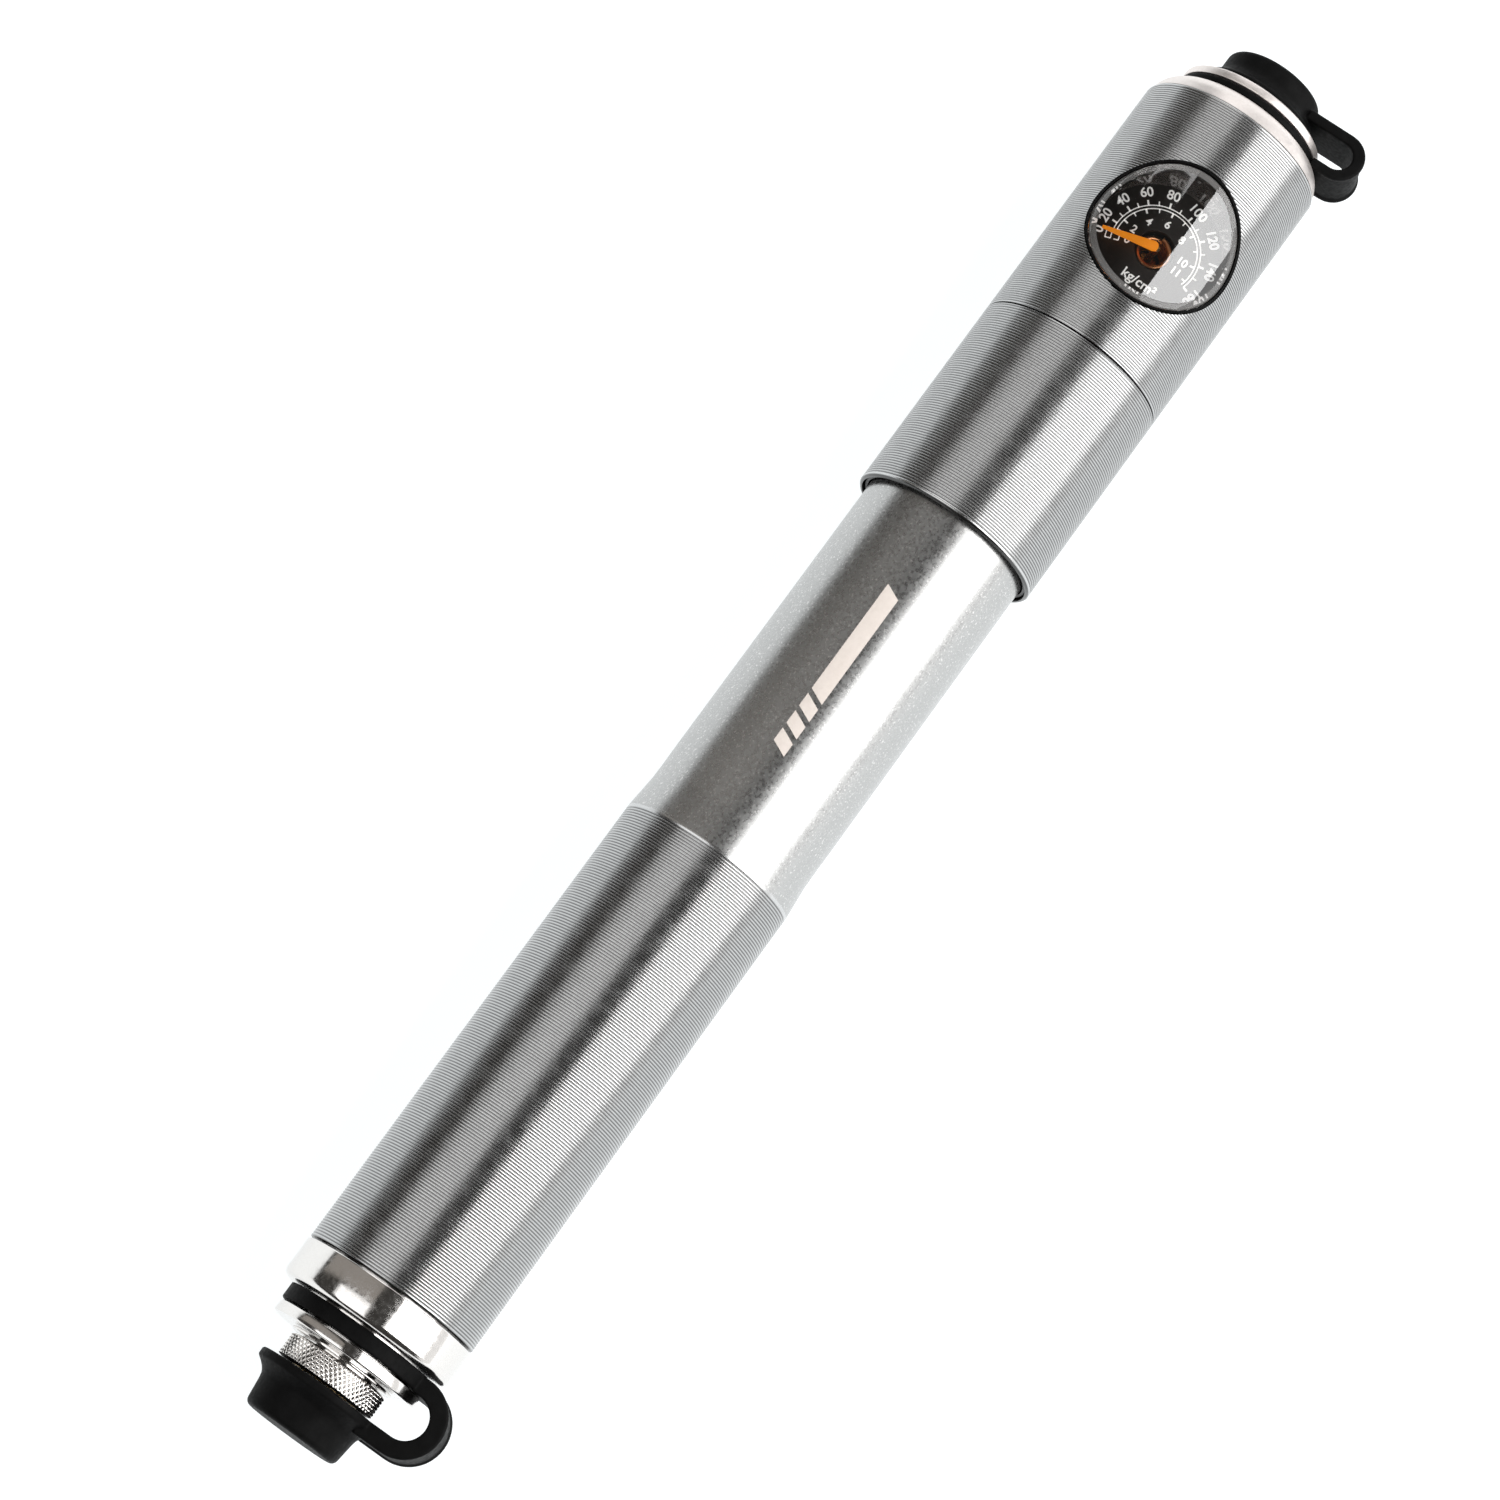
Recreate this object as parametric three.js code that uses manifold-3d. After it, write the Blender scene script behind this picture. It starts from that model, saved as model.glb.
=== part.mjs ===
// Hand pump for bicycle tyres, with a pressure gauge, lying on its side. Millimetres.
// X runs along the barrel, with the gauge end at +X. The gauge looks up, along +Z.
// The origin is on the lowest facet of the gauge head, straight below the gauge's axis.
import * as THREE from "three";
import { mergeVertices } from "three/addons/utils/BufferGeometryUtils.js";
import Module from "manifold-3d";

const wasm = await Module();
wasm.setup();

// ------------------------------------------------------------ driving dimensions
const HEAD_RADIUS = 13.5; // gauge head and grip sleeve
const AXIS_HEIGHT = HEAD_RADIUS; // the barrel's axis above the surface it lies on
const GAP = 0.3; // clearance between neighbouring pieces
const FACETS = 32; // facets on the large turned pieces
const FINE_FACETS = 16; // facets on the small turned pieces

// stations along the barrel
const BOTTOM_CAP_END = -191.5;
const BOTTOM_CAP_MOUTH = -184.6;
const NUT_END = -180.9;
const BOTTOM_FLANGE_START = -180.1;
const BOTTOM_GROOVE_START = -178.6;
const BOTTOM_COLLAR_START = -175.8;
const TUBE_START = -170.1;
const TAPER_START = -102;
const TAPER_END = -96.8;
const SLEEVE_START = -47.9;
const TUBE_END = -20.3;
const HEAD_START = -18.3;
const HEAD_END = 19.9;
const TOP_COLLAR_END = 22.8;
const TOP_GROOVE_END = 24.3;
const TOP_FLANGE_END = 25.5;
const TOP_CAP_END = 31.4;

// radii
const GRIP_RADIUS = 12.55; // grooved lower part of the sliding tube
const TUBE_RADIUS = 12.15; // smooth upper part of the sliding tube
const TUBE_BORE = 10.95;
const SLEEVE_BORE = 12.6;
const SLEEVE_MOUTH_BORE = 13;
const COLLAR_RADIUS = 12.6;
const FLANGE_RADIUS = 10.8;
const GROOVE_CORE = 8.6; // floor of both tether grooves
const TETHER_RING_RADIUS = 10.9;
const CYLINDER_RADIUS = 9.8;
const CYLINDER_BORE = 8.3;
const ROD_RADIUS = 5.5;
const ROD_BORE = 4.8;
const HOSE_RADIUS = 3.8;
const NUT_RADIUS = 7.2;
const CAP_LIP_RADIUS = 9.05;
const CAP_WAIST_RADIUS = 7.3;
const CHUCK_RADIUS = 5.1;
const CHUCK_BORE = 3.85;
const NIPPLE_RADIUS = 4.7;
const OUTLET_BORE = 2;

// inner cylinder, piston and check valve, along the barrel
const CYLINDER_START = -158;
const CYLINDER_END = -14.4;
const GLAND_END = -152;
const PISTON_START = -32.5;
const PISTON_END = -26.9;
const VALVE_START = -26;
const VALVE_SEAT = -23;
const VALVE_END = -16.5;
const HOSE_TIP = -62; // the hose's far end, stored inside the piston rod

// gauge, heights measured from the barrel's axis
const WINDOW_RADIUS = 10.5;
const LENS_RADIUS = 9.95;
const LENS_THICKNESS = 1.4;
const POCKET_FLOOR = -3.5;
const DIAL_TOP = 5.6;
const DIAL_THICKNESS = 0.6;
const DIAL_RADIUS = 9.5;
const DIAL_HOLE = 2.7;
const NEEDLE_HEIGHT = 6.8;
const NEEDLE_LENGTH = 7.8;
const NEEDLE_REST = THREE.MathUtils.degToRad(106); // from +X, at zero pressure
const PASSAGE_HEIGHT = -7.2; // air passage under the gauge

// tether straps
const STRAP_WIDTH = 8.4;
const STRAP_TILT = THREE.MathUtils.degToRad(9); // above the horizontal, on the -Y side
const BOTTOM_LOOP_REACH = 16.5;
const BOTTOM_EYE_REACH = 14.1; // the loop's opening
const TOP_LOOP_REACH = 16.8;
const TOP_EYE_REACH = 15.1;

// ------------------------------------------------------------ materials
const finish = (color, roughness, metalness, more = {}) =>
  new THREE.MeshStandardMaterial({ color, roughness, metalness, ...more });
const silver = finish(0xc9cdd0, 0.34, 1);
const polished = finish(0xd6cfc9, 0.16, 1);
const steel = finish(0xb4b6b8, 0.25, 1);
const brass = finish(0xb98a45, 0.3, 1);
const copper = finish(0x9a4f26, 0.35, 1);
const blackRubber = finish(0x111111, 0.75, 0);
const blackPlastic = finish(0x16161a, 0.5, 0);
const dialBlack = finish(0x0b0b0c, 0.55, 0);
const orange = finish(0xf58a12, 0.45, 0);
const clear = finish(0xf2f6f8, 0.05, 0, { transparent: true, opacity: 0.25 });

// ------------------------------------------------------------ shape helpers
// A turned piece about X. The outline is [x, radius] points that run along the outside
// towards +X and come back along the bore, or that start and end on the axis.
// The flats lie at the stated radii, and one flat faces straight down.
function turned(outline, facets = FACETS) {
  const spread = 1 / Math.cos(Math.PI / facets);
  const points = outline.map(([x, r]) => new THREE.Vector2(r * spread, x));
  if (outline[0][1] > 0) points.push(points[0].clone());
  const geometry = new THREE.LatheGeometry(points, facets, Math.PI / facets);
  return geometry.rotateZ(-Math.PI / 2);
}

// A turned piece about Z. The outline is [height, radius] points.
function standing(outline, facets = FACETS) {
  return turned(outline, facets).rotateY(-Math.PI / 2);
}

function ringOutline(start, end, outer, inner, chamfer = 0) {
  const rim = [[start + chamfer, outer], [end - chamfer, outer]];
  const bevelled = [[start, outer - chamfer], ...rim, [end, outer - chamfer]];
  return [...(chamfer ? bevelled : rim), [end, inner], [start, inner]];
}

function ring(start, end, outer, inner, chamfer = 0, facets = FACETS) {
  return turned(ringOutline(start, end, outer, inner, chamfer), facets);
}

function rod(start, end, radius, facets = FINE_FACETS) {
  return turned([[start, 0], [start, radius], [end, radius], [end, 0]], facets);
}

function post(bottom, top, radius, facets = FINE_FACETS) {
  return rod(bottom, top, radius, facets).rotateY(-Math.PI / 2);
}

function box(xStart, xEnd, yStart, yEnd, width) {
  const block = new THREE.BoxGeometry(xEnd - xStart, yEnd - yStart, width);
  return block.translate((xStart + xEnd) / 2, (yStart + yEnd) / 2, 0);
}

function solid(geometry) {
  const bare = geometry.clone();
  bare.deleteAttribute("normal");
  bare.deleteAttribute("uv");
  const merged = mergeVertices(bare, 1e-4);
  const mesh = new wasm.Mesh({
    numProp: 3,
    vertProperties: merged.attributes.position.array,
    triVerts: new Uint32Array(merged.index.array),
  });
  return new wasm.Manifold(mesh);
}

function geometryOf(shape) {
  const mesh = shape.getMesh();
  const geometry = new THREE.BufferGeometry();
  geometry.setAttribute("position", new THREE.BufferAttribute(mesh.vertProperties, 3));
  geometry.setIndex(new THREE.BufferAttribute(mesh.triVerts, 1));
  geometry.computeVertexNormals();
  return geometry;
}

function cut(body, ...tools) {
  return geometryOf(tools.reduce((left, tool) => left.subtract(solid(tool)), solid(body)));
}

function join(...pieces) {
  return geometryOf(pieces.map(solid).reduce((whole, piece) => whole.add(piece)));
}

// A helix about Z, from one height to another.
class Helix extends THREE.Curve {
  constructor(radius, bottom, top, turns) {
    super();
    Object.assign(this, { radius, bottom, top, turns });
  }

  getPoint(t, target = new THREE.Vector3()) {
    const angle = 2 * Math.PI * this.turns * t;
    const height = this.bottom + (this.top - this.bottom) * t;
    return target.set(this.radius * Math.cos(angle), this.radius * Math.sin(angle), height);
  }
}

function coil(radius, bottom, top, turns, wireRadius) {
  const section = new THREE.Shape().absarc(0, 0, wireRadius, 0, 2 * Math.PI);
  return new THREE.ExtrudeGeometry(section, {
    extrudePath: new Helix(radius, bottom, top, turns),
    steps: Math.round(14 * turns),
    curveSegments: 3,
    bevelEnabled: false,
  });
}

// ------------------------------------------------------------ head
const SPIGOT_END = 14.5; // the top collar's spigot inside the head
const SPIGOT_RADIUS = 9;

// Bored from both ends, with a round pocket for the gauge and an air passage below it.
function gaugeHead() {
  const bossFace = TUBE_END + GAP;
  const blank = turned([
    [bossFace, 0],
    [bossFace, TUBE_RADIUS],
    [HEAD_START, TUBE_RADIUS],
    [HEAD_START, HEAD_RADIUS],
    [HEAD_END - 0.9, HEAD_RADIUS],
    [HEAD_END, HEAD_RADIUS - 0.7],
    [HEAD_END, 0],
  ]);
  return cut(
    blank,
    rod(bossFace - 1, CYLINDER_END + GAP, CYLINDER_RADIUS + GAP, FACETS),
    rod(SPIGOT_END - GAP, HEAD_END + 1, SPIGOT_RADIUS + GAP, FACETS),
    post(POCKET_FLOOR, HEAD_RADIUS + 2, WINDOW_RADIUS, FACETS),
    rod(CYLINDER_END - 1, SPIGOT_END + 1, 1.5).translate(0, 0, PASSAGE_HEIGHT),
    post(PASSAGE_HEIGHT, POCKET_FLOOR + 1, 1.2),
  );
}

// Rounded shoulder, tether groove and flange at the gauge end, on a spigot.
function topCollar() {
  const shoulder = HEAD_END + GAP;
  const roundCentre = new THREE.Vector2(HEAD_END + 0.1, HEAD_RADIUS - 3.3);
  const round = [4, 25, 45, 62, 70].map((degrees) => {
    const angle = THREE.MathUtils.degToRad(degrees);
    return [roundCentre.x + 3 * Math.sin(angle), roundCentre.y + 3 * Math.cos(angle)];
  });
  return turned([
    [SPIGOT_END, SPIGOT_RADIUS],
    [shoulder, SPIGOT_RADIUS],
    ...round,
    [TOP_COLLAR_END, GROOVE_CORE],
    [TOP_GROOVE_END, GROOVE_CORE],
    [TOP_GROOVE_END, FLANGE_RADIUS - 0.2],
    [TOP_GROOVE_END + 0.2, FLANGE_RADIUS],
    [TOP_FLANGE_END - 0.2, FLANGE_RADIUS],
    [TOP_FLANGE_END, FLANGE_RADIUS - 0.2],
    [TOP_FLANGE_END, NIPPLE_RADIUS + GAP],
    [SPIGOT_END, NIPPLE_RADIUS + GAP],
  ]);
}

// The sleeve's bore opens out at its mouth, where it holds the guide ring.
function gripSleeve() {
  const end = HEAD_START - GAP;
  const step = SLEEVE_START + 5.2;
  return turned([
    [SLEEVE_START, HEAD_RADIUS - 0.2],
    [SLEEVE_START + 0.2, HEAD_RADIUS],
    [end, HEAD_RADIUS],
    [end, SLEEVE_BORE],
    [step, SLEEVE_BORE],
    [step, SLEEVE_MOUTH_BORE],
    [SLEEVE_START, SLEEVE_MOUTH_BORE],
  ]);
}

function sleeveGuide() {
  return ring(SLEEVE_START + 0.4, SLEEVE_START + 4.9, 12.8, TUBE_RADIUS + 0.25);
}

function innerCylinder() {
  return ring(CYLINDER_START, CYLINDER_END, CYLINDER_RADIUS, CYLINDER_BORE);
}

// The cylinder's lower end cap, which guides the piston rod.
function cylinderGland() {
  const shoulder = CYLINDER_START - GAP;
  return turned([
    [shoulder - 2.3, CYLINDER_RADIUS],
    [shoulder, CYLINDER_RADIUS],
    [shoulder, CYLINDER_BORE - GAP],
    [GLAND_END, CYLINDER_BORE - GAP],
    [GLAND_END, ROD_RADIUS + GAP],
    [shoulder - 2.3, ROD_RADIUS + GAP],
  ]);
}

// ------------------------------------------------------------ check valve
const VALVE_ORIFICE = 1.5;
const VALVE_CHAMBER = 3.7;
const POPPET_RADIUS = 3.1;

function valveBody() {
  return turned([
    [VALVE_START, CYLINDER_BORE - GAP],
    [VALVE_END, CYLINDER_BORE - GAP],
    [VALVE_END, VALVE_CHAMBER],
    [VALVE_SEAT, VALVE_CHAMBER],
    [VALVE_SEAT, VALVE_ORIFICE],
    [VALVE_START, VALVE_ORIFICE],
  ]);
}

function valvePoppet() {
  const face = VALVE_SEAT + GAP;
  return turned(
    [[face, 0], [face, POPPET_RADIUS], [face + 1.3, POPPET_RADIUS], [face + 1.3, 1.3],
      [face + 3, 1.3], [face + 3, 0]],
    FINE_FACETS,
  );
}

function valveSpring() {
  const wire = 0.25;
  const bottom = VALVE_SEAT + GAP + 1.3 + GAP + wire;
  return coil(2, bottom, VALVE_END - wire, 4, wire).rotateY(Math.PI / 2);
}

function valveRetainer() {
  return ring(VALVE_END + GAP, VALVE_END + 1.5, 5, 1, 0, FINE_FACETS);
}

// Threaded outlet at the gauge end, under the top cap.
function outletNipple() {
  const end = TOP_FLANGE_END + 3.6;
  return ring(SPIGOT_END + GAP, end, NIPPLE_RADIUS, OUTLET_BORE, 0.4, FINE_FACETS);
}

// ------------------------------------------------------------ gauge
const CASE_RADIUS = WINDOW_RADIUS - 0.4;
const CASE_TOP = DIAL_TOP - DIAL_THICKNESS - GAP;

function gaugeCase() {
  const floor = POCKET_FLOOR + GAP;
  return standing([
    [floor, CASE_RADIUS],
    [CASE_TOP, CASE_RADIUS],
    [CASE_TOP, CASE_RADIUS - 0.8],
    [floor + 1, CASE_RADIUS - 0.8],
    [floor + 1, 1.9],
    [floor, 1.9],
  ]);
}

function gaugeStem() {
  return standing(ringOutline(POCKET_FLOOR + GAP, POCKET_FLOOR + 2.4, 1.6, 0.8), FINE_FACETS);
}

function bourdonCoil() {
  return coil(2.1, POCKET_FLOOR + 3, DIAL_TOP - DIAL_THICKNESS - 0.1, 5, 0.4);
}

function gaugeDial() {
  return standing(ringOutline(DIAL_TOP - DIAL_THICKNESS, DIAL_TOP, DIAL_RADIUS, DIAL_HOLE));
}

// A round cap with a thick skirt, whose top follows the round of the head.
function gaugeLens() {
  const bottom = DIAL_TOP + GAP;
  const crown = (radius) => solid(rod(HEAD_START, HEAD_END, radius, 2 * FACETS));
  const outside = solid(post(bottom, HEAD_RADIUS + 1, LENS_RADIUS, FACETS));
  const inside = solid(post(bottom - 1, HEAD_RADIUS + 1, LENS_RADIUS - 0.9, FACETS));
  const hollow = inside.intersect(crown(HEAD_RADIUS - 0.1 - LENS_THICKNESS));
  return geometryOf(outside.intersect(crown(HEAD_RADIUS - 0.1)).subtract(hollow));
}

// Thin gasket round the lens, trimmed to stand just proud of the round head.
function lensGasket() {
  const inner = LENS_RADIUS + 0.15;
  const tall = ringOutline(DIAL_TOP + GAP, HEAD_RADIUS + 1, WINDOW_RADIUS - 0.15, inner);
  const envelope = rod(HEAD_START, HEAD_END, HEAD_RADIUS + 0.15, 2 * FACETS);
  return geometryOf(solid(standing(tall)).intersect(solid(envelope)));
}

// A tapered pointer whose round tail ends just past its spindle.
function gaugeNeedle() {
  const hub = 0.7;
  const hubCentre = 0.55;
  const outline = new THREE.Shape();
  outline.moveTo(NEEDLE_LENGTH, 0.2);
  outline.lineTo(hubCentre, hub);
  outline.absarc(hubCentre, 0, hub, Math.PI / 2, (3 * Math.PI) / 2);
  outline.lineTo(NEEDLE_LENGTH, -0.2);
  const blade = { depth: 0.4, curveSegments: 8, bevelEnabled: false };
  return new THREE.ExtrudeGeometry(outline, blade)
    .rotateZ(NEEDLE_REST)
    .translate(0, 0, NEEDLE_HEIGHT);
}

function needleSpindle() {
  return post(POCKET_FLOOR + 3, NEEDLE_HEIGHT - GAP, 0.5, 12);
}

// ------------------------------------------------------------ sliding tube
function slidingTube() {
  return turned([
    [TUBE_START, GRIP_RADIUS],
    [TAPER_START, GRIP_RADIUS],
    [TAPER_END, TUBE_RADIUS],
    [TUBE_END, TUBE_RADIUS],
    [TUBE_END, TUBE_BORE],
    [TUBE_START, TUBE_BORE],
  ]);
}

function tubeBush() {
  return ring(TUBE_END - 8.6, TUBE_END - GAP, TUBE_BORE - 0.25, CYLINDER_RADIUS + GAP);
}

// Rounded collar, tether groove and flange at the hose end, on a spigot.
function bottomCollar() {
  const shoulder = TUBE_START - GAP;
  const spigotEnd = TUBE_START + 7;
  return turned([
    [BOTTOM_FLANGE_START, FLANGE_RADIUS - 1.3],
    [BOTTOM_FLANGE_START + 0.9, FLANGE_RADIUS],
    [BOTTOM_GROOVE_START, FLANGE_RADIUS],
    [BOTTOM_GROOVE_START, GROOVE_CORE],
    [BOTTOM_COLLAR_START, GROOVE_CORE],
    [BOTTOM_COLLAR_START, COLLAR_RADIUS - 0.9],
    [BOTTOM_COLLAR_START + 0.25, COLLAR_RADIUS - 0.3],
    [BOTTOM_COLLAR_START + 0.9, COLLAR_RADIUS],
    [shoulder, COLLAR_RADIUS],
    [shoulder, TUBE_BORE - GAP],
    [spigotEnd, TUBE_BORE - GAP],
    [spigotEnd, ROD_RADIUS + GAP],
    [BOTTOM_FLANGE_START, ROD_RADIUS + GAP],
  ]);
}

function pistonRod() {
  const start = BOTTOM_COLLAR_START - 0.4;
  return ring(start, PISTON_START - GAP, ROD_RADIUS, ROD_BORE, 0, FINE_FACETS);
}

const SEAL_START = PISTON_START + 1.6;
const SEAL_END = PISTON_END - 1.6;

function piston() {
  const land = CYLINDER_BORE - 0.4;
  const groove = 6.6;
  return turned(
    [[PISTON_START - 4, 0], [PISTON_START - 4, ROD_BORE - GAP], [PISTON_START, ROD_BORE - GAP],
      [PISTON_START, land], [SEAL_START, land], [SEAL_START, groove], [SEAL_END, groove],
      [SEAL_END, land], [PISTON_END, land], [PISTON_END, 0]],
    24,
  );
}

function pistonSeal() {
  return ring(SEAL_START + GAP, SEAL_END - GAP, CYLINDER_BORE - 0.22, 6.9, 0.3, 24);
}

// ------------------------------------------------------------ hose, stored inside the rod
function hoseNut() {
  const spigot = ROD_RADIUS;
  return turned([
    [BOTTOM_CAP_MOUTH + GAP, NUT_RADIUS - 0.3],
    [BOTTOM_CAP_MOUTH + GAP + 0.3, NUT_RADIUS],
    [NUT_END - 0.3, NUT_RADIUS],
    [NUT_END, NUT_RADIUS - 0.3],
    [NUT_END, spigot],
    [BOTTOM_COLLAR_START - 0.7, spigot],
    [BOTTOM_COLLAR_START - 0.7, HOSE_RADIUS + GAP],
    [BOTTOM_CAP_MOUTH + GAP, HOSE_RADIUS + GAP],
  ]);
}

function nutWasher() {
  return ring(NUT_END + 0.25, BOTTOM_FLANGE_START - 0.2, NUT_RADIUS + 0.4, ROD_RADIUS + GAP);
}

function hose() {
  return rod(BOTTOM_CAP_MOUTH + 1, HOSE_TIP, HOSE_RADIUS);
}

// The socket that takes a tyre valve, under the bottom cap.
function hoseChuck() {
  const start = BOTTOM_CAP_END + 1.4;
  return ring(start, BOTTOM_CAP_MOUTH, CHUCK_RADIUS, CHUCK_BORE, 0.4, FINE_FACETS);
}

function chuckGasket() {
  const end = BOTTOM_CAP_MOUTH - 0.2;
  return ring(end - 1.2, end, CHUCK_BORE - GAP, 1.4, 0, FINE_FACETS);
}

function hoseConnector() {
  return ring(HOSE_TIP + GAP, HOSE_TIP + 8, ROD_BORE - 0.4, 1.5, 0.4, FINE_FACETS);
}

// ------------------------------------------------------------ caps and their tethers
function bottomCap() {
  const cavity = CHUCK_RADIUS + GAP + 0.1;
  const floor = BOTTOM_CAP_END + 1.1;
  return turned([
    [BOTTOM_CAP_END, 0],
    [BOTTOM_CAP_END, CAP_WAIST_RADIUS - 1],
    [BOTTOM_CAP_END + 0.6, CAP_WAIST_RADIUS - 0.4],
    [BOTTOM_CAP_MOUTH - 3.2, CAP_WAIST_RADIUS],
    [BOTTOM_CAP_MOUTH - 2, CAP_WAIST_RADIUS + 0.4],
    [BOTTOM_CAP_MOUTH - 1, CAP_LIP_RADIUS],
    [BOTTOM_CAP_MOUTH, CAP_LIP_RADIUS],
    [BOTTOM_CAP_MOUTH, cavity],
    [floor, cavity],
    [floor, 0],
  ]);
}

function topCap() {
  const mouth = TOP_FLANGE_END + GAP;
  const cavity = NIPPLE_RADIUS + GAP + 0.1;
  const floor = TOP_CAP_END - 1.6;
  return turned([
    [mouth, CAP_LIP_RADIUS],
    [mouth + 0.8, CAP_LIP_RADIUS],
    [mouth + 1.7, CAP_WAIST_RADIUS + 0.5],
    [mouth + 2.6, CAP_WAIST_RADIUS],
    [TOP_CAP_END - 0.6, CAP_WAIST_RADIUS],
    [TOP_CAP_END, CAP_WAIST_RADIUS - 0.6],
    [TOP_CAP_END, 0],
    [floor, 0],
    [floor, cavity],
    [mouth, cavity],
  ]);
}

// A flat band in the XY plane: a U open towards the barrel. The legs are the stretches from
// outer[0] to inner[0] and from inner[1] to outer[1], and they stop at those distances from the
// barrel's axis; the reaches are those of the band's outside and of its opening.
function loopBand(outer, inner, [lowEnd, highEnd], reach, eyeReach) {
  const outerRadius = (outer[1] - outer[0]) / 2;
  const innerRadius = (inner[1] - inner[0]) / 2;
  const outline = new THREE.Shape();
  outline.moveTo(outer[0], -lowEnd);
  outline.lineTo(outer[0], outerRadius - reach);
  outline.absarc(outer[0] + outerRadius, outerRadius - reach, outerRadius, Math.PI, 2 * Math.PI);
  outline.lineTo(outer[1], -highEnd);
  outline.lineTo(inner[1], -highEnd);
  outline.lineTo(inner[1], innerRadius - eyeReach);
  outline.absarc(
    inner[0] + innerRadius, innerRadius - eyeReach, innerRadius, 2 * Math.PI, Math.PI, true,
  );
  outline.lineTo(inner[0], -lowEnd);
  const band = { depth: STRAP_WIDTH, curveSegments: 12, bevelEnabled: false };
  return new THREE.ExtrudeGeometry(outline, band).translate(0, 0, -STRAP_WIDTH / 2);
}

// A ring in its groove, a neck out to the strap, and the strap that runs to the lip of the cap.
function tether(ringStart, ringEnd, neckEnd, band) {
  const loop = ring(ringStart, ringEnd, TETHER_RING_RADIUS, GROOVE_CORE + GAP);
  const neck = box(ringStart, ringEnd, -neckEnd, 1 - TETHER_RING_RADIUS, STRAP_WIDTH - 0.4);
  return join(loop.rotateX(STRAP_TILT), neck, band).rotateX(-STRAP_TILT);
}

const CAP_LEG_END = CAP_LIP_RADIUS + 0.35; // the strap's cap end, just off the cap's lip

function bottomTether() {
  const ringEnd = BOTTOM_COLLAR_START - GAP;
  const ringLegEnd = FLANGE_RADIUS + 0.25;
  const outer = [BOTTOM_CAP_MOUTH - 2.4, BOTTOM_COLLAR_START - 0.4];
  const inner = [BOTTOM_CAP_MOUTH, BOTTOM_GROOVE_START];
  const legEnds = [CAP_LEG_END, ringLegEnd];
  const band = loopBand(outer, inner, legEnds, BOTTOM_LOOP_REACH, BOTTOM_EYE_REACH);
  return tether(BOTTOM_GROOVE_START + GAP, ringEnd, ringLegEnd + 0.4, band);
}

function topTether() {
  const ringStart = TOP_COLLAR_END + GAP;
  const ringLegEnd = FLANGE_RADIUS + 1.6;
  const outer = [TOP_COLLAR_END - 0.2, TOP_FLANGE_END + 4.1];
  const inner = [TOP_COLLAR_END + 1.2, TOP_FLANGE_END + 2.6];
  const legEnds = [ringLegEnd, CAP_LEG_END];
  const band = loopBand(outer, inner, legEnds, TOP_LOOP_REACH, TOP_EYE_REACH);
  return tether(ringStart, TOP_GROOVE_END - GAP, ringLegEnd + 0.4, band);
}

// ------------------------------------------------------------ assembly
const pieces = {
  head: [
    ["gauge_head", gaugeHead(), silver],
    ["grip_sleeve", gripSleeve(), silver],
    ["sleeve_guide", sleeveGuide(), blackPlastic],
    ["inner_cylinder", innerCylinder(), steel],
    ["cylinder_gland", cylinderGland(), blackPlastic],
    ["valve_body", valveBody(), brass],
    ["valve_retainer", valveRetainer(), brass],
    ["valve_spring", valveSpring(), steel],
    ["top_collar", topCollar(), polished],
    ["outlet_nipple", outletNipple(), brass],
    ["top_tether", topTether(), blackRubber],
    ["gauge_case", gaugeCase(), blackPlastic],
    ["gauge_stem", gaugeStem(), brass],
    ["bourdon_coil", bourdonCoil(), copper],
    ["gauge_dial", gaugeDial(), dialBlack],
    ["gauge_lens", gaugeLens(), clear],
    ["lens_gasket", lensGasket(), blackRubber],
  ],
  needle: [
    ["gauge_needle", gaugeNeedle(), orange],
    ["needle_spindle", needleSpindle(), brass],
  ],
  poppet: [["valve_poppet", valvePoppet(), blackRubber]],
  handle: [
    ["handle_tube", slidingTube(), silver],
    ["tube_bush", tubeBush(), blackPlastic],
    ["bottom_collar", bottomCollar(), polished],
    ["piston_rod", pistonRod(), steel],
    ["piston", piston(), blackPlastic],
    ["piston_seal", pistonSeal(), blackRubber],
    ["nut_washer", nutWasher(), polished],
    ["bottom_tether", bottomTether(), blackRubber],
  ],
  hose: [
    ["hose_nut", hoseNut(), polished],
    ["hose", hose(), blackRubber],
    ["hose_chuck", hoseChuck(), brass],
    ["chuck_gasket", chuckGasket(), blackRubber],
    ["hose_connector", hoseConnector(), brass],
  ],
  bottom_cap: [["bottom_cap", bottomCap(), blackRubber]],
  top_cap: [["top_cap", topCap(), blackRubber]],
};

const pump = new THREE.Group();
pump.name = "mini_pump";
for (const [bodyName, members] of Object.entries(pieces)) {
  const body = new THREE.Group();
  body.name = `${bodyName}_body`;
  body.position.z = AXIS_HEIGHT;
  for (const [name, geometry, material] of members) {
    const mesh = new THREE.Mesh(geometry, material);
    mesh.name = name;
    body.add(mesh);
  }
  pump.add(body);
}

export default pump;
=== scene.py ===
# Looks of a bicycle hand pump with a pressure gauge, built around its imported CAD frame.
# Outlines and helpers work in millimetres, measured from the barrel's axis, and place() turns them
# into metres in the row frame. X runs along the barrel, and the gauge looks up, along +Z.
import math

import bmesh
import bpy
from mathutils import Matrix, Vector


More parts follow.
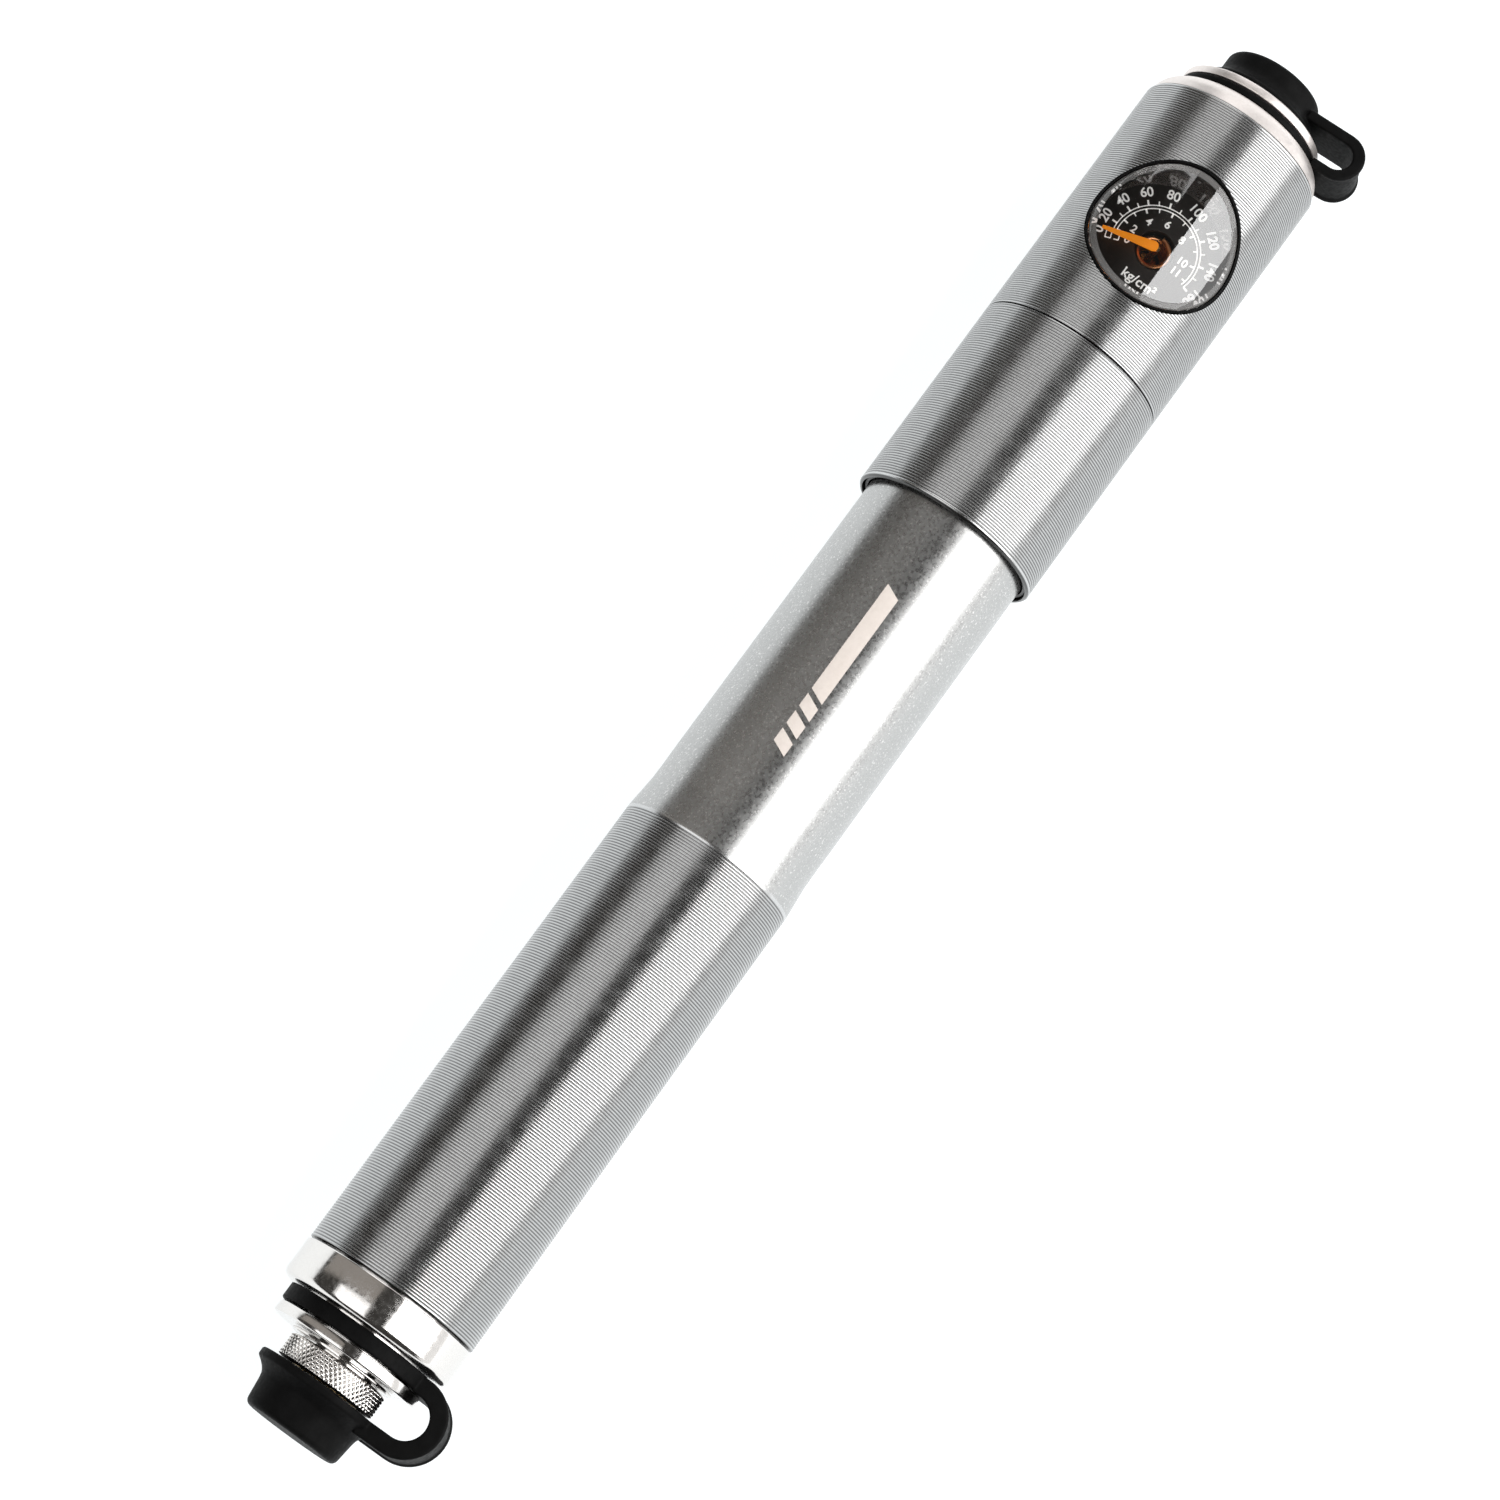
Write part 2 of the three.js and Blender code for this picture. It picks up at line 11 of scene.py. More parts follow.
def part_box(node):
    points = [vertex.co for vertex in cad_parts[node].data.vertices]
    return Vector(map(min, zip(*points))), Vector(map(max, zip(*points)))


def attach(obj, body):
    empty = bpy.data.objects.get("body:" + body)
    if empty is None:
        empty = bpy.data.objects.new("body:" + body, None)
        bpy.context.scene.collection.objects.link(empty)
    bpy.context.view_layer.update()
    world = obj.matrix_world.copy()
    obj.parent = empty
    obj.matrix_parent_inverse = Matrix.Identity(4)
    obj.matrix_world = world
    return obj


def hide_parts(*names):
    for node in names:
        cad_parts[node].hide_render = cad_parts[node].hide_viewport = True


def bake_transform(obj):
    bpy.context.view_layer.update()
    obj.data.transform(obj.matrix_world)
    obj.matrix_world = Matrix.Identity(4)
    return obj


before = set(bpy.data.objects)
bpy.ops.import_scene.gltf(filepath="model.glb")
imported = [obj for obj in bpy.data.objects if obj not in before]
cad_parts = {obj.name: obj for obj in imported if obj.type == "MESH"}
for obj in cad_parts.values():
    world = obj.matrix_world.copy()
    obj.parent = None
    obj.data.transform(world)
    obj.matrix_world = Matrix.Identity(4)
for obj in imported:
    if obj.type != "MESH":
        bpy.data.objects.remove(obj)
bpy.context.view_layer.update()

MM = 0.001
TURN = 2 * math.pi


# ------------------------------------------------------------ places read from the frame
def ends(node):
    low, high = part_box(node)
    return low.x / MM, high.x / MM


def radius_of(node):
    low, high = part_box(node)
    return (high.y - low.y) / 2 / MM


AXIS_Z = (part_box("gauge_head")[0].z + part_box("gauge_head")[1].z) / 2 / MM
GAP = 0.3
GROOVE_DEPTH = 0.1


def heights(node):
    """The node's lowest and highest places above the barrel's axis."""
    low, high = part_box(node)
    return low.z / MM - AXIS_Z, high.z / MM - AXIS_Z


# ------------------------------------------------------------ camera
CAMERA_TILT = math.radians(12.64)  # off the vertical, towards the hose end
CAMERA_ROLL = math.radians(53.73)  # the barrel's direction in the picture, above the horizontal
CAMERA_DISTANCE = 0.5891
CAMERA_AIM = Vector((-0.08615, 0.00409, 0.0135))
CAMERA_LENS = 108.92


def make_camera():
    forward = Vector((math.sin(CAMERA_TILT), 0, -math.cos(CAMERA_TILT)))
    along = Vector((math.cos(CAMERA_TILT), 0, math.sin(CAMERA_TILT)))
    across = Vector((0, -1, 0))
    right = math.cos(CAMERA_ROLL) * along + math.sin(CAMERA_ROLL) * across
    up = math.sin(CAMERA_ROLL) * along - math.cos(CAMERA_ROLL) * across
    data = bpy.data.cameras.new("camera")
    data.lens = CAMERA_LENS
    camera = bpy.data.objects.new("camera", data)
    bpy.context.scene.collection.objects.link(camera)
    axes = Matrix((right, up, -forward)).transposed().to_4x4()
    camera.matrix_world = Matrix.Translation(CAMERA_AIM - CAMERA_DISTANCE * forward) @ axes
    bpy.context.scene.camera = camera


make_camera()


# ------------------------------------------------------------ light and floor
SOFTBOX_DISTANCE = 0.62
WARM = (1.0, 0.93, 0.86)
STUDIO_DARK = (0.042, 0.04, 0.037, 1)


def area_light(name, centre, outward, length, width, radiance, color=(1, 1, 1)):
    """A soft rectangular light that shines against outward; its length lies across the Z axis."""
    data = bpy.data.lights.new(name, "AREA")
    data.shape = "RECTANGLE"
    data.size, data.size_y = length, width
    data.energy = radiance * math.pi * length * width
    data.color = color
    lamp = bpy.data.objects.new(name, data)
    bpy.context.scene.collection.objects.link(lamp)
    level = Vector((0, 0, 1)).cross(outward).normalized()
    axes = Matrix((level, outward.cross(level), outward)).transposed().to_4x4()
    lamp.matrix_world = Matrix.Translation(centre) @ axes


def softbox(name, side, nearest, farthest, start, end, radiance, color=(1, 1, 1)):
    """A soft light along the barrel: side is -1 or 1 for its Y side, the angles are degrees off
    the vertical, and start and end are its X span in metres."""
    middle = math.radians((nearest + farthest) / 2)
    half = math.radians((farthest - nearest) / 2)
    outward = Vector((0, side * math.sin(middle), math.cos(middle)))
    centre = Vector(((start + end) / 2, 0, AXIS_Z * MM)) + SOFTBOX_DISTANCE * outward
    width = 2 * SOFTBOX_DISTANCE * math.tan(half)
    area_light(name, centre, outward, end - start, width, radiance, color)


def make_lights():
    softbox("softbox_front", -1, 17, 74, -0.30, 0.46, 4.0)
    softbox("card_front", -1, 74, 98, -0.6, 0.7, 0.9)
    softbox("softbox_back_low", 1, 11, 55, -0.9, -0.12, 1.5)
    softbox("softbox_back_high", 1, 11, 55, 0.26, 1.0, 1.5)
    softbox("card_back", 1, 11, 85, -0.10, 0.115, 0.26, WARM)
    end_outward = Vector((1, 0, 0.25)).normalized()
    area_light("card_end", Vector((0.6, 0, 0.16)), end_outward, 0.7, 0.45, 1.0)
    world = bpy.data.worlds.new("studio")
    world.use_nodes = True
    background = world.node_tree.nodes["Background"]
    background.inputs["Color"].default_value = STUDIO_DARK
    bpy.context.scene.world = world
    bpy.context.scene.view_settings.view_transform = "Standard"


# ------------------------------------------------------------ materials
class Finish:
    """A material on one Principled shader, with texture nodes added by its methods."""

    def __init__(self, name, color, roughness, metallic=0.0, **sockets):
        self.material = bpy.data.materials.new(name)
        self.material.use_nodes = True
        self.nodes = self.material.node_tree.nodes
        self.links = self.material.node_tree.links
        self.shader = self.nodes["Principled BSDF"]
        self.shader.inputs["Base Color"].default_value = (*color, 1)
        self.shader.inputs["Roughness"].default_value = roughness
        self.shader.inputs["Metallic"].default_value = metallic
        for socket, value in sockets.items():
            self.shader.inputs[socket.replace("_", " ")].default_value = value
        self.place = self.nodes.new("ShaderNodeTexCoord").outputs["Object"]

    def noise(self, per_mm, detail=2.0, stretch=(1, 1, 1)):
        """Noise with that many features per millimetre, stretched by axis."""
        mapping = self.nodes.new("ShaderNodeMapping")
        mapping.inputs["Scale"].default_value = [per_mm * s / MM for s in stretch]
        texture = self.nodes.new("ShaderNodeTexNoise")
        texture.inputs["Scale"].default_value = 1
        texture.inputs["Detail"].default_value = detail
        self.links.new(self.place, mapping.inputs["Vector"])
        self.links.new(mapping.outputs["Vector"], texture.inputs["Vector"])
        return texture.outputs["Fac"]

    def spread(self, value, low, high, to_low, to_high):
        """The value's range low to high, turned into to_low to to_high."""
        node = self.nodes.new("ShaderNodeMapRange")
        for socket, number in zip(node.inputs[1:5], (low, high, to_low, to_high)):
            socket.default_value = number
        self.links.new(value, node.inputs["Value"])
        return node.outputs["Result"]

    def mix(self, value, low, high):
        """A colour that goes from low to high with the value."""
        node = self.nodes.new("ShaderNodeMix")
        node.data_type = "RGBA"
        for socket, color in ((node.inputs[6], low), (node.inputs[7], high)):
            if isinstance(color, tuple):
                socket.default_value = (*color, 1)
            else:
                self.links.new(color, socket)
        self.links.new(value, node.inputs[0])
        return node.outputs[2]

    def tint(self, value, low, high):
        """The base colour goes from low to high with the value."""
        self.links.new(self.mix(value, low, high), self.shader.inputs["Base Color"])

    def reach(self):
        """Distance from the barrel's axis, in metres."""
        shift = self.nodes.new("ShaderNodeVectorMath")
        shift.operation = "MULTIPLY_ADD"
        shift.inputs[1].default_value = (0, 1, 1)
        shift.inputs[2].default_value = (0, 0, -AXIS_Z * MM)
        length = self.nodes.new("ShaderNodeVectorMath")
        length.operation = "LENGTH"
        self.links.new(self.place, shift.inputs[0])
        self.links.new(shift.outputs["Vector"], length.inputs[0])
        return length.outputs["Value"]

    def gloss(self, value):
        self.links.new(value, self.shader.inputs["Roughness"])

    def bump(self, height, strength, depth):
        """Relief of that depth in millimetres."""
        node = self.nodes.new("ShaderNodeBump")
        node.inputs["Strength"].default_value = strength
        node.inputs["Distance"].default_value = depth * MM
        self.links.new(height, node.inputs["Height"])
        self.links.new(node.outputs["Normal"], self.shader.inputs["Normal"])


AROUND = (14, 1, 1)  # stretches noise into fine turning marks round the barrel
ALONG = (0.08, 1, 1)  # stretches noise into drawing marks along it


def satin_aluminium(name, crest):
    """Turned aluminium whose colour is painted darker towards the floors of the grooves below its
    crest radius: painted shade.
    """
    finish = Finish(name, (0.7, 0.7, 0.7), 0.24, 1.0)
    marks = finish.noise(1.2, 3, AROUND)
    metal = finish.mix(marks, (0.5, 0.505, 0.51), (0.68, 0.68, 0.675))
    # painted shade: the colour goes nearly black towards the groove floors, where the grooves fall
    # in shade
    depth = finish.spread(finish.reach(), (crest - GROOVE_DEPTH) * MM, crest * MM, 0.9, 0.0)
    finish.tint(depth, metal, (0.05, 0.05, 0.05))
    finish.gloss(finish.spread(finish.noise(0.5), 0.3, 0.7, 0.2, 0.28))
    finish.bump(finish.noise(1.5, 2), 0.04, 0.008)
    return finish.material


def blasted_aluminium():
    finish = Finish("blasted_aluminium", (0.7, 0.7, 0.69), 0.3, 1.0)
    speckle = finish.spread(finish.noise(3.5, 1), 0.6, 0.72, 0.0, 1.0)
    finish.tint(speckle, (0.46, 0.46, 0.455), (0.72, 0.71, 0.7))
    finish.gloss(finish.spread(finish.noise(2.2, 2), 0.3, 0.7, 0.24, 0.34))
    finish.bump(finish.noise(1.5, 2), 0.02, 0.006)
    return finish.material


def polished_aluminium():
    finish = Finish("polished_aluminium", (0.86, 0.83, 0.8), 0.12, 1.0)
    marks = finish.noise(2, 3, AROUND)
    finish.tint(finish.noise(6, 2), (0.7, 0.675, 0.65), (0.86, 0.84, 0.82))
    finish.gloss(finish.spread(finish.noise(1.5), 0.3, 0.7, 0.09, 0.19))
    finish.bump(marks, 0.03, 0.005)
    return finish.material


def collar_satin():
    finish = Finish("collar_satin", (0.86, 0.81, 0.78), 0.46, 1.0)
    finish.tint(finish.noise(3, 2), (0.78, 0.72, 0.69), (0.92, 0.87, 0.84))
    finish.gloss(finish.spread(finish.noise(1.5), 0.3, 0.7, 0.42, 0.5))
    finish.bump(finish.noise(2, 2), 0.05, 0.008)
    return finish.material


def steel():
    finish = Finish("steel", (0.6, 0.6, 0.6), 0.2, 1.0)
    marks = finish.noise(2, 2, ALONG)
    finish.tint(marks, (0.5, 0.5, 0.51), (0.72, 0.72, 0.72))
    finish.gloss(finish.spread(finish.noise(0.8), 0.3, 0.7, 0.14, 0.26))
    finish.bump(marks, 0.15, 0.006)
    return finish.material


def brass():
    finish = Finish("brass", (0.75, 0.53, 0.25), 0.25, 1.0)
    marks = finish.noise(1.5, 3, AROUND)
    finish.tint(marks, (0.62, 0.41, 0.17), (0.85, 0.63, 0.33))
    finish.gloss(finish.spread(finish.noise(1), 0.3, 0.7, 0.18, 0.34))
    finish.bump(marks, 0.2, 0.008)
    return finish.material


def copper():
    finish = Finish("copper", (0.62, 0.25, 0.1), 0.3, 1.0)
    stain = finish.noise(1.2, 3)
    finish.tint(stain, (0.3, 0.09, 0.03), (0.8, 0.4, 0.2))
    finish.gloss(finish.spread(stain, 0.3, 0.7, 0.4, 0.22))
    finish.bump(finish.noise(5, 2), 0.2, 0.01)
    return finish.material


def rubber(name, dark, pale, roughness, grain_per_mm):
    finish = Finish(name, dark, roughness, Specular_IOR_Level=0.04)
    finish.tint(finish.noise(0.7, 4), dark, pale)
    finish.gloss(finish.spread(finish.noise(2), 0.3, 0.7, roughness - 0.08, roughness + 0.1))
    finish.bump(finish.noise(grain_per_mm, 2), 0.2, 0.02)
    return finish.material


def black_plastic():
    finish = Finish("black_plastic", (0.02, 0.02, 0.022), 0.42)
    finish.tint(finish.noise(1, 3), (0.014, 0.014, 0.016), (0.035, 0.035, 0.038))
    finish.gloss(finish.spread(finish.noise(3), 0.3, 0.7, 0.34, 0.52))
    finish.bump(finish.noise(8, 2), 0.2, 0.01)
    return finish.material


def dial_black():
    finish = Finish("dial_black", (0.012, 0.01, 0.01), 0.5)
    finish.tint(finish.noise(2, 3), (0.01, 0.0085, 0.0085), (0.022, 0.017, 0.017))
    finish.gloss(finish.spread(finish.noise(4), 0.3, 0.7, 0.42, 0.6))
    finish.bump(finish.noise(12, 2), 0.15, 0.006)
    return finish.material


def print_white():
    # painted light: the white print glows with an emission of its own, so that it stays bright
    # under the lens
    finish = Finish("print_white", (0.85, 0.85, 0.84), 0.5,
                    Emission_Color=(1.0, 1.0, 1.0, 1), Emission_Strength=0.5)
    finish.tint(finish.noise(5, 3), (0.76, 0.76, 0.75), (0.9, 0.9, 0.89))
    finish.bump(finish.noise(15, 2), 0.2, 0.005)
    return finish.material


def mark_pale():
    finish = Finish("mark_pale", (0.82, 0.74, 0.68), 0.45)
    finish.tint(finish.noise(1.5, 3), (0.74, 0.66, 0.6), (0.88, 0.8, 0.74))
    finish.gloss(finish.spread(finish.noise(3), 0.3, 0.7, 0.38, 0.55))
    finish.bump(finish.noise(4, 2), 0.2, 0.008)
    return finish.material


def needle_orange():
    # painted light: the orange paint glows with an emission of its own, so that it looks brighter
    # than the lamps make it
    finish = Finish("needle_orange", (1.0, 0.3, 0.02), 0.4,
                    Emission_Color=(1.0, 0.3, 0.01, 1), Emission_Strength=0.7)
    finish.tint(finish.noise(2, 3), (0.9, 0.22, 0.008), (1.0, 0.36, 0.03))
    finish.gloss(finish.spread(finish.noise(4), 0.3, 0.7, 0.32, 0.5))
    finish.bump(finish.noise(10, 2), 0.15, 0.006)
    return finish.material


WINDOW_IOR = 2.5  # above real plastic, so that the lens mirrors the lights as the photo shows


def clear_window():
    """Clear plastic, thin enough to see through without bending the light."""
    material = bpy.data.materials.new("clear_window")
    material.use_nodes = True
    nodes, links = material.node_tree.nodes, material.node_tree.links
    nodes.remove(nodes["Principled BSDF"])
    see_through = nodes.new("ShaderNodeBsdfTransparent")
    gloss = nodes.new("ShaderNodeBsdfGlossy")
    fresnel = nodes.new("ShaderNodeFresnel")
    mixed = nodes.new("ShaderNodeMixShader")
    noise = nodes.new("ShaderNodeTexNoise")
    haze = nodes.new("ShaderNodeMapRange")
    coordinates = nodes.new("ShaderNodeTexCoord")
    see_through.inputs["Color"].default_value = (0.97, 0.96, 0.94, 1)
    fresnel.inputs["IOR"].default_value = WINDOW_IOR
    noise.inputs["Scale"].default_value = 0.4 / MM
    haze.inputs["To Min"].default_value = 0.02
    haze.inputs["To Max"].default_value = 0.05
    links.new(coordinates.outputs["Object"], noise.inputs["Vector"])
    links.new(noise.outputs["Fac"], haze.inputs["Value"])
    links.new(haze.outputs["Result"], gloss.inputs["Roughness"])
    links.new(fresnel.outputs["Fac"], mixed.inputs[0])
    links.new(see_through.outputs["BSDF"], mixed.inputs[1])
    links.new(gloss.outputs["BSDF"], mixed.inputs[2])
    links.new(mixed.outputs["Shader"], nodes["Material Output"].inputs["Surface"])
    return material


def clear_inside():
    """The lens's inner surface: it lets light through and has no gloss of its own."""
    material = bpy.data.materials.new("clear_inside")
    material.use_nodes = True
    nodes, links = material.node_tree.nodes, material.node_tree.links
    nodes.remove(nodes["Principled BSDF"])
    see_through = nodes.new("ShaderNodeBsdfTransparent")
    noise = nodes.new("ShaderNodeTexNoise")
    shade = nodes.new("ShaderNodeMapRange")
    coordinates = nodes.new("ShaderNodeTexCoord")
    noise.inputs["Scale"].default_value = 0.5 / MM
    shade.inputs["To Min"].default_value = 0.95
    links.new(coordinates.outputs["Object"], noise.inputs["Vector"])
    links.new(noise.outputs["Fac"], shade.inputs["Value"])
    links.new(shade.outputs["Result"], see_through.inputs["Color"])
    links.new(see_through.outputs["BSDF"], nodes["Material Output"].inputs["Surface"])
    return material


def clear_skirt():
    finish = Finish("clear_skirt", (0.9, 0.88, 0.86), 0.03, Transmission_Weight=0.85, IOR=1.49)
    finish.gloss(finish.spread(finish.noise(0.8), 0.3, 0.7, 0.02, 0.06))
    finish.bump(finish.noise(0.5), 0.05, 0.02)
    return finish.material


def floor_white():
    finish = Finish("floor_white", (0.3, 0.3, 0.3), 0.7, Specular_IOR_Level=0.1,
                    Emission_Color=(0.96, 0.99, 1.0, 1), Emission_Strength=0.9)
    finish.tint(finish.noise(0.02, 3), (0.28, 0.285, 0.29), (0.3, 0.305, 0.31))
    return finish.material


SATIN_HEAD = satin_aluminium("satin_aluminium_head", radius_of("gauge_head"))
SATIN_TUBE = satin_aluminium("satin_aluminium_tube", radius_of("handle_tube"))
BLASTED = blasted_aluminium()
POLISHED = polished_aluminium()
COLLAR_SATIN = collar_satin()
STEEL = steel()
BRASS = brass()
COPPER = copper()
BLACK_RUBBER = rubber("black_rubber", (0.003, 0.003, 0.003), (0.009, 0.009, 0.009), 0.5, 3)
HOSE_RUBBER = rubber("hose_rubber", (0.012, 0.012, 0.012), (0.028, 0.028, 0.028), 0.42, 3)
BLACK_PLASTIC = black_plastic()
DIAL_BLACK = dial_black()
PRINT_WHITE_PAINTED_GLOW = print_white()
MARK_PALE = mark_pale()
NEEDLE_ORANGE_PAINTED_GLOW = needle_orange()
CLEAR_WINDOW = clear_window()
CLEAR_SKIRT = clear_skirt()
CLEAR_INSIDE = clear_inside()
FLOOR_WHITE = floor_white()


# ------------------------------------------------------------ mesh helpers
SAME_POINT = 1e-4 * MM


def place(name, points, faces, materials, sharp=40.0, face_materials=None):
    """An object from points in millimetres about the barrel's axis. Equal points are merged, and
    edges sharper than the angle stay sharp."""
    mesh = bpy.data.meshes.new(name)
    mesh.from_pydata([(x * MM, y * MM, (z + AXIS_Z) * MM) for x, y, z in points], [], faces)
    for material in materials:
        mesh.materials.append(material)
    if face_materials:
        mesh.polygons.foreach_set("material_index", face_materials)
    shape = bmesh.new()
    shape.from_mesh(mesh)
    bmesh.ops.remove_doubles(shape, verts=shape.verts, dist=SAME_POINT)
    bmesh.ops.recalc_face_normals(shape, faces=shape.faces)
    shape.to_mesh(mesh)
    shape.free()
    mesh.shade_smooth()
    mesh.set_sharp_from_angle(angle=math.radians(sharp))
    piece = bpy.data.objects.new(name, mesh)
    bpy.context.scene.collection.objects.link(piece)
    return piece


def stand_for(piece, body, slot, *nodes):
    """The piece rides on the body and is shown instead of those CAD nodes."""
    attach(piece, body)
    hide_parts(*nodes)


def loft(rows, count):
    """Faces between neighbouring rows of points, each row a closed loop."""
    faces = []
    for first in range(0, (rows - 1) * count, count):
        second = first + count
        for step in range(count):
            after = (step + 1) % count
            faces.append((first + step, first + after, second + after, second + step))
    return faces


def turned(name, outline, materials, segments=96, sharp=40.0, relief=None, region=None):
    """A closed solid from an outline of (x, radius) points turned about the barrel's axis. relief
    is taken off a point's radius, and region picks a face's material from its x."""
    closed = outline if outline[0][1] == 0 else [*outline, outline[0]]
    points = []
    for x, radius in closed:
        for step in range(segments):
            angle = TURN * step / segments
            r = radius - (relief(x, radius, angle) if relief else 0)
            points.append((x, r * math.sin(angle), r * math.cos(angle)))
    picked = [region(*spot) for spot in closed[:-1] for _ in range(segments)] if region else None
    return place(name, points, loft(len(closed), segments), materials, sharp, picked)


def arc(x, radius, size, start, end, steps=6):
    """Points round a corner: angles in degrees, 0 away from the axis and 90 towards +X."""
    angles = [math.radians(start + (end - start) * i / steps) for i in range(steps + 1)]
    return [(x + size * math.sin(a), radius + size * math.cos(a)) for a in angles]


GROOVE_ROWS = 4


def grooves(start, end, radius, pitch, depth):
    """Fine turned grooves with their crests at the radius, from one crest to another."""
    rows = GROOVE_ROWS * round((end - start) / pitch)
    dips = [depth * (1 - math.cos(TURN * i / GROOVE_ROWS)) / 2 for i in range(rows + 1)]
    return [(start + (end - start) * i / rows, radius - dip) for i, dip in enumerate(dips)]


# ------------------------------------------------------------ barrel
GROOVE_PITCH = 0.388
HEAD_GROOVE_PITCH = 0.359
HEAD_START = ends("grip_sleeve")[1] + GAP
HEAD_END = ends("gauge_head")[1]
HEAD_RADIUS = radius_of("gauge_head")
TUBE_START, TUBE_END = ends("handle_tube")
GRIP_RADIUS = radius_of("handle_tube")
WINDOW_RADIUS = 10.5
POCKET_FLOOR = -3.5
TUBE_RADIUS = 12.15
TUBE_BORE = 10.95
TAPER_START = -102.0
TAPER_END = -96.8
COATING_START = TAPER_END + 2.0
SPIGOT_RADIUS = 9.0
SLEEVE_BORE = 12.6
SLEEVE_MOUTH_BORE = 13.0


def head_outline():
    cylinder_bore = radius_of("inner_cylinder") + GAP
    cylinder_floor = ends("inner_cylinder")[1] + GAP
    boss = ends("gauge_head")[0]
    spigot_floor = ends("top_collar")[0] - GAP
    spigot_bore = SPIGOT_RADIUS + GAP
    rows = grooves(HEAD_START + 0.2, HEAD_END - 0.3, HEAD_RADIUS, HEAD_GROOVE_PITCH, GROOVE_DEPTH)
    for rim in (-WINDOW_RADIUS, WINDOW_RADIUS):
        after = next(i for i, row in enumerate(rows) if row[0] > rim)
        (x, radius), (next_x, next_radius) = rows[after - 1], rows[after]
        rows.insert(after, (rim, radius + (next_radius - radius) * (rim - x) / (next_x - x)))
    return [
        (cylinder_floor, 0), (cylinder_floor, cylinder_bore), (boss, cylinder_bore),
        (boss, TUBE_RADIUS), (HEAD_START, TUBE_RADIUS), (HEAD_START, HEAD_RADIUS - 0.12),
        (HEAD_START + 0.08, HEAD_RADIUS - 0.02),
        *rows,
        *arc(HEAD_END - 0.25, HEAD_RADIUS - 0.25, 0.25, 10, 90, 4),
        (HEAD_END, spigot_bore), (spigot_floor, spigot_bore), (spigot_floor, 0),
    ]


def gauge_head():
    """The rows of the turned head stop at the round window, whose rim runs down into a pocket."""
    steps = 160
    points, faces, rim = [], [], []
    outline = head_outline()
    for row, (x, radius) in enumerate(outline):
        half_width = 0.0
        if abs(x) <= WINDOW_RADIUS + 1e-9 and radius > TUBE_RADIUS:
            half_width = math.sqrt(max(0.0, WINDOW_RADIUS**2 - x**2))
            rim.append((row, x, half_width))
        first = math.asin(half_width / radius) if radius else 0.0
        # Points that would stand in the window are gathered on its rim.
        for step in range(steps + 1):
            angle = min(max(TURN * step / steps, first), TURN - first)
            points.append((x, radius * math.sin(angle), radius * math.cos(angle)))
    width = steps + 1
    for row in range(len(outline) - 1):
        for step in range(steps):
            corner = row * width + step
            faces.append((corner, corner + 1, corner + width + 1, corner + width))
    floor = len(points)
    for _, x, half_width in rim:
        points += [(x, half_width, POCKET_FLOOR), (x, -half_width, POCKET_FLOOR)]
    for i, (row, _, _) in enumerate(rim[:-1]):
        left, right = floor + 2 * i, floor + 2 * i + 1
        top_left, top_right = row * width, row * width + steps
        faces.append((top_left, top_left + width, left + 2, left))
        faces.append((top_right, top_right + width, right + 2, right))
        faces.append((left, left + 2, right + 2, right))
    piece = place("gauge_head_fine", points, faces, [SATIN_HEAD], 60)
    stand_for(piece, "head", "satin_aluminium", "gauge_head")


def grip_sleeve():
    start, end = ends("grip_sleeve")
    seam = end + 0.18
    step = start + 5.2
    lip, lip_bevel = 13.15, 13.32
    outline = [
        (start, lip), (start + 0.08, lip_bevel), (start + 0.3, HEAD_RADIUS),
        *grooves(start + 0.5, seam - 0.15, HEAD_RADIUS, GROOVE_PITCH, GROOVE_DEPTH),
        (seam, HEAD_RADIUS - 0.1), (seam, SLEEVE_BORE), (step, SLEEVE_BORE),
        (step, SLEEVE_MOUTH_BORE), (start, SLEEVE_MOUTH_BORE),
    ]
    piece = turned("grip_sleeve_fine", outline, [SATIN_HEAD], 128, 60)
    stand_for(piece, "head", "satin_aluminium", "grip_sleeve")


def handle_tube():
    rows, coated = 24, TUBE_END - 0.4 - COATING_START
    outline = [
        (TUBE_START, GRIP_RADIUS - 0.25), (TUBE_START + 0.12, GRIP_RADIUS - 0.06),
        *grooves(TUBE_START + 0.3, TAPER_START, GRIP_RADIUS, GROOVE_PITCH, GROOVE_DEPTH),
        (TAPER_START + 0.4, GRIP_RADIUS), (TAPER_END, TUBE_RADIUS), (TAPER_END + 0.6, TUBE_RADIUS),
        (COATING_START, TUBE_RADIUS - 0.03),
        *[(COATING_START + 0.05 + coated * i / rows, TUBE_RADIUS) for i in range(1, rows + 1)],
        (TUBE_END, TUBE_RADIUS - 0.3), (TUBE_END, TUBE_BORE), (TUBE_START, TUBE_BORE),
    ]
    piece = turned(
        "handle_tube_fine", outline, [SATIN_TUBE, BLASTED], 128, 60,
        region=lambda x, radius: int(x > TAPER_START and radius > TUBE_BORE + 0.5),
    )
    stand_for(piece, "handle", "satin_aluminium", "handle_tube")


MARK_BARS = ((-87.0, -85.0), (-84.2, -82.2), (-81.4, -79.4), (-78.6, -61.5))
MARK_LOW = math.radians(0.5)
MARK_HIGH = math.radians(11.5)
MARK_SLANT = 1.1


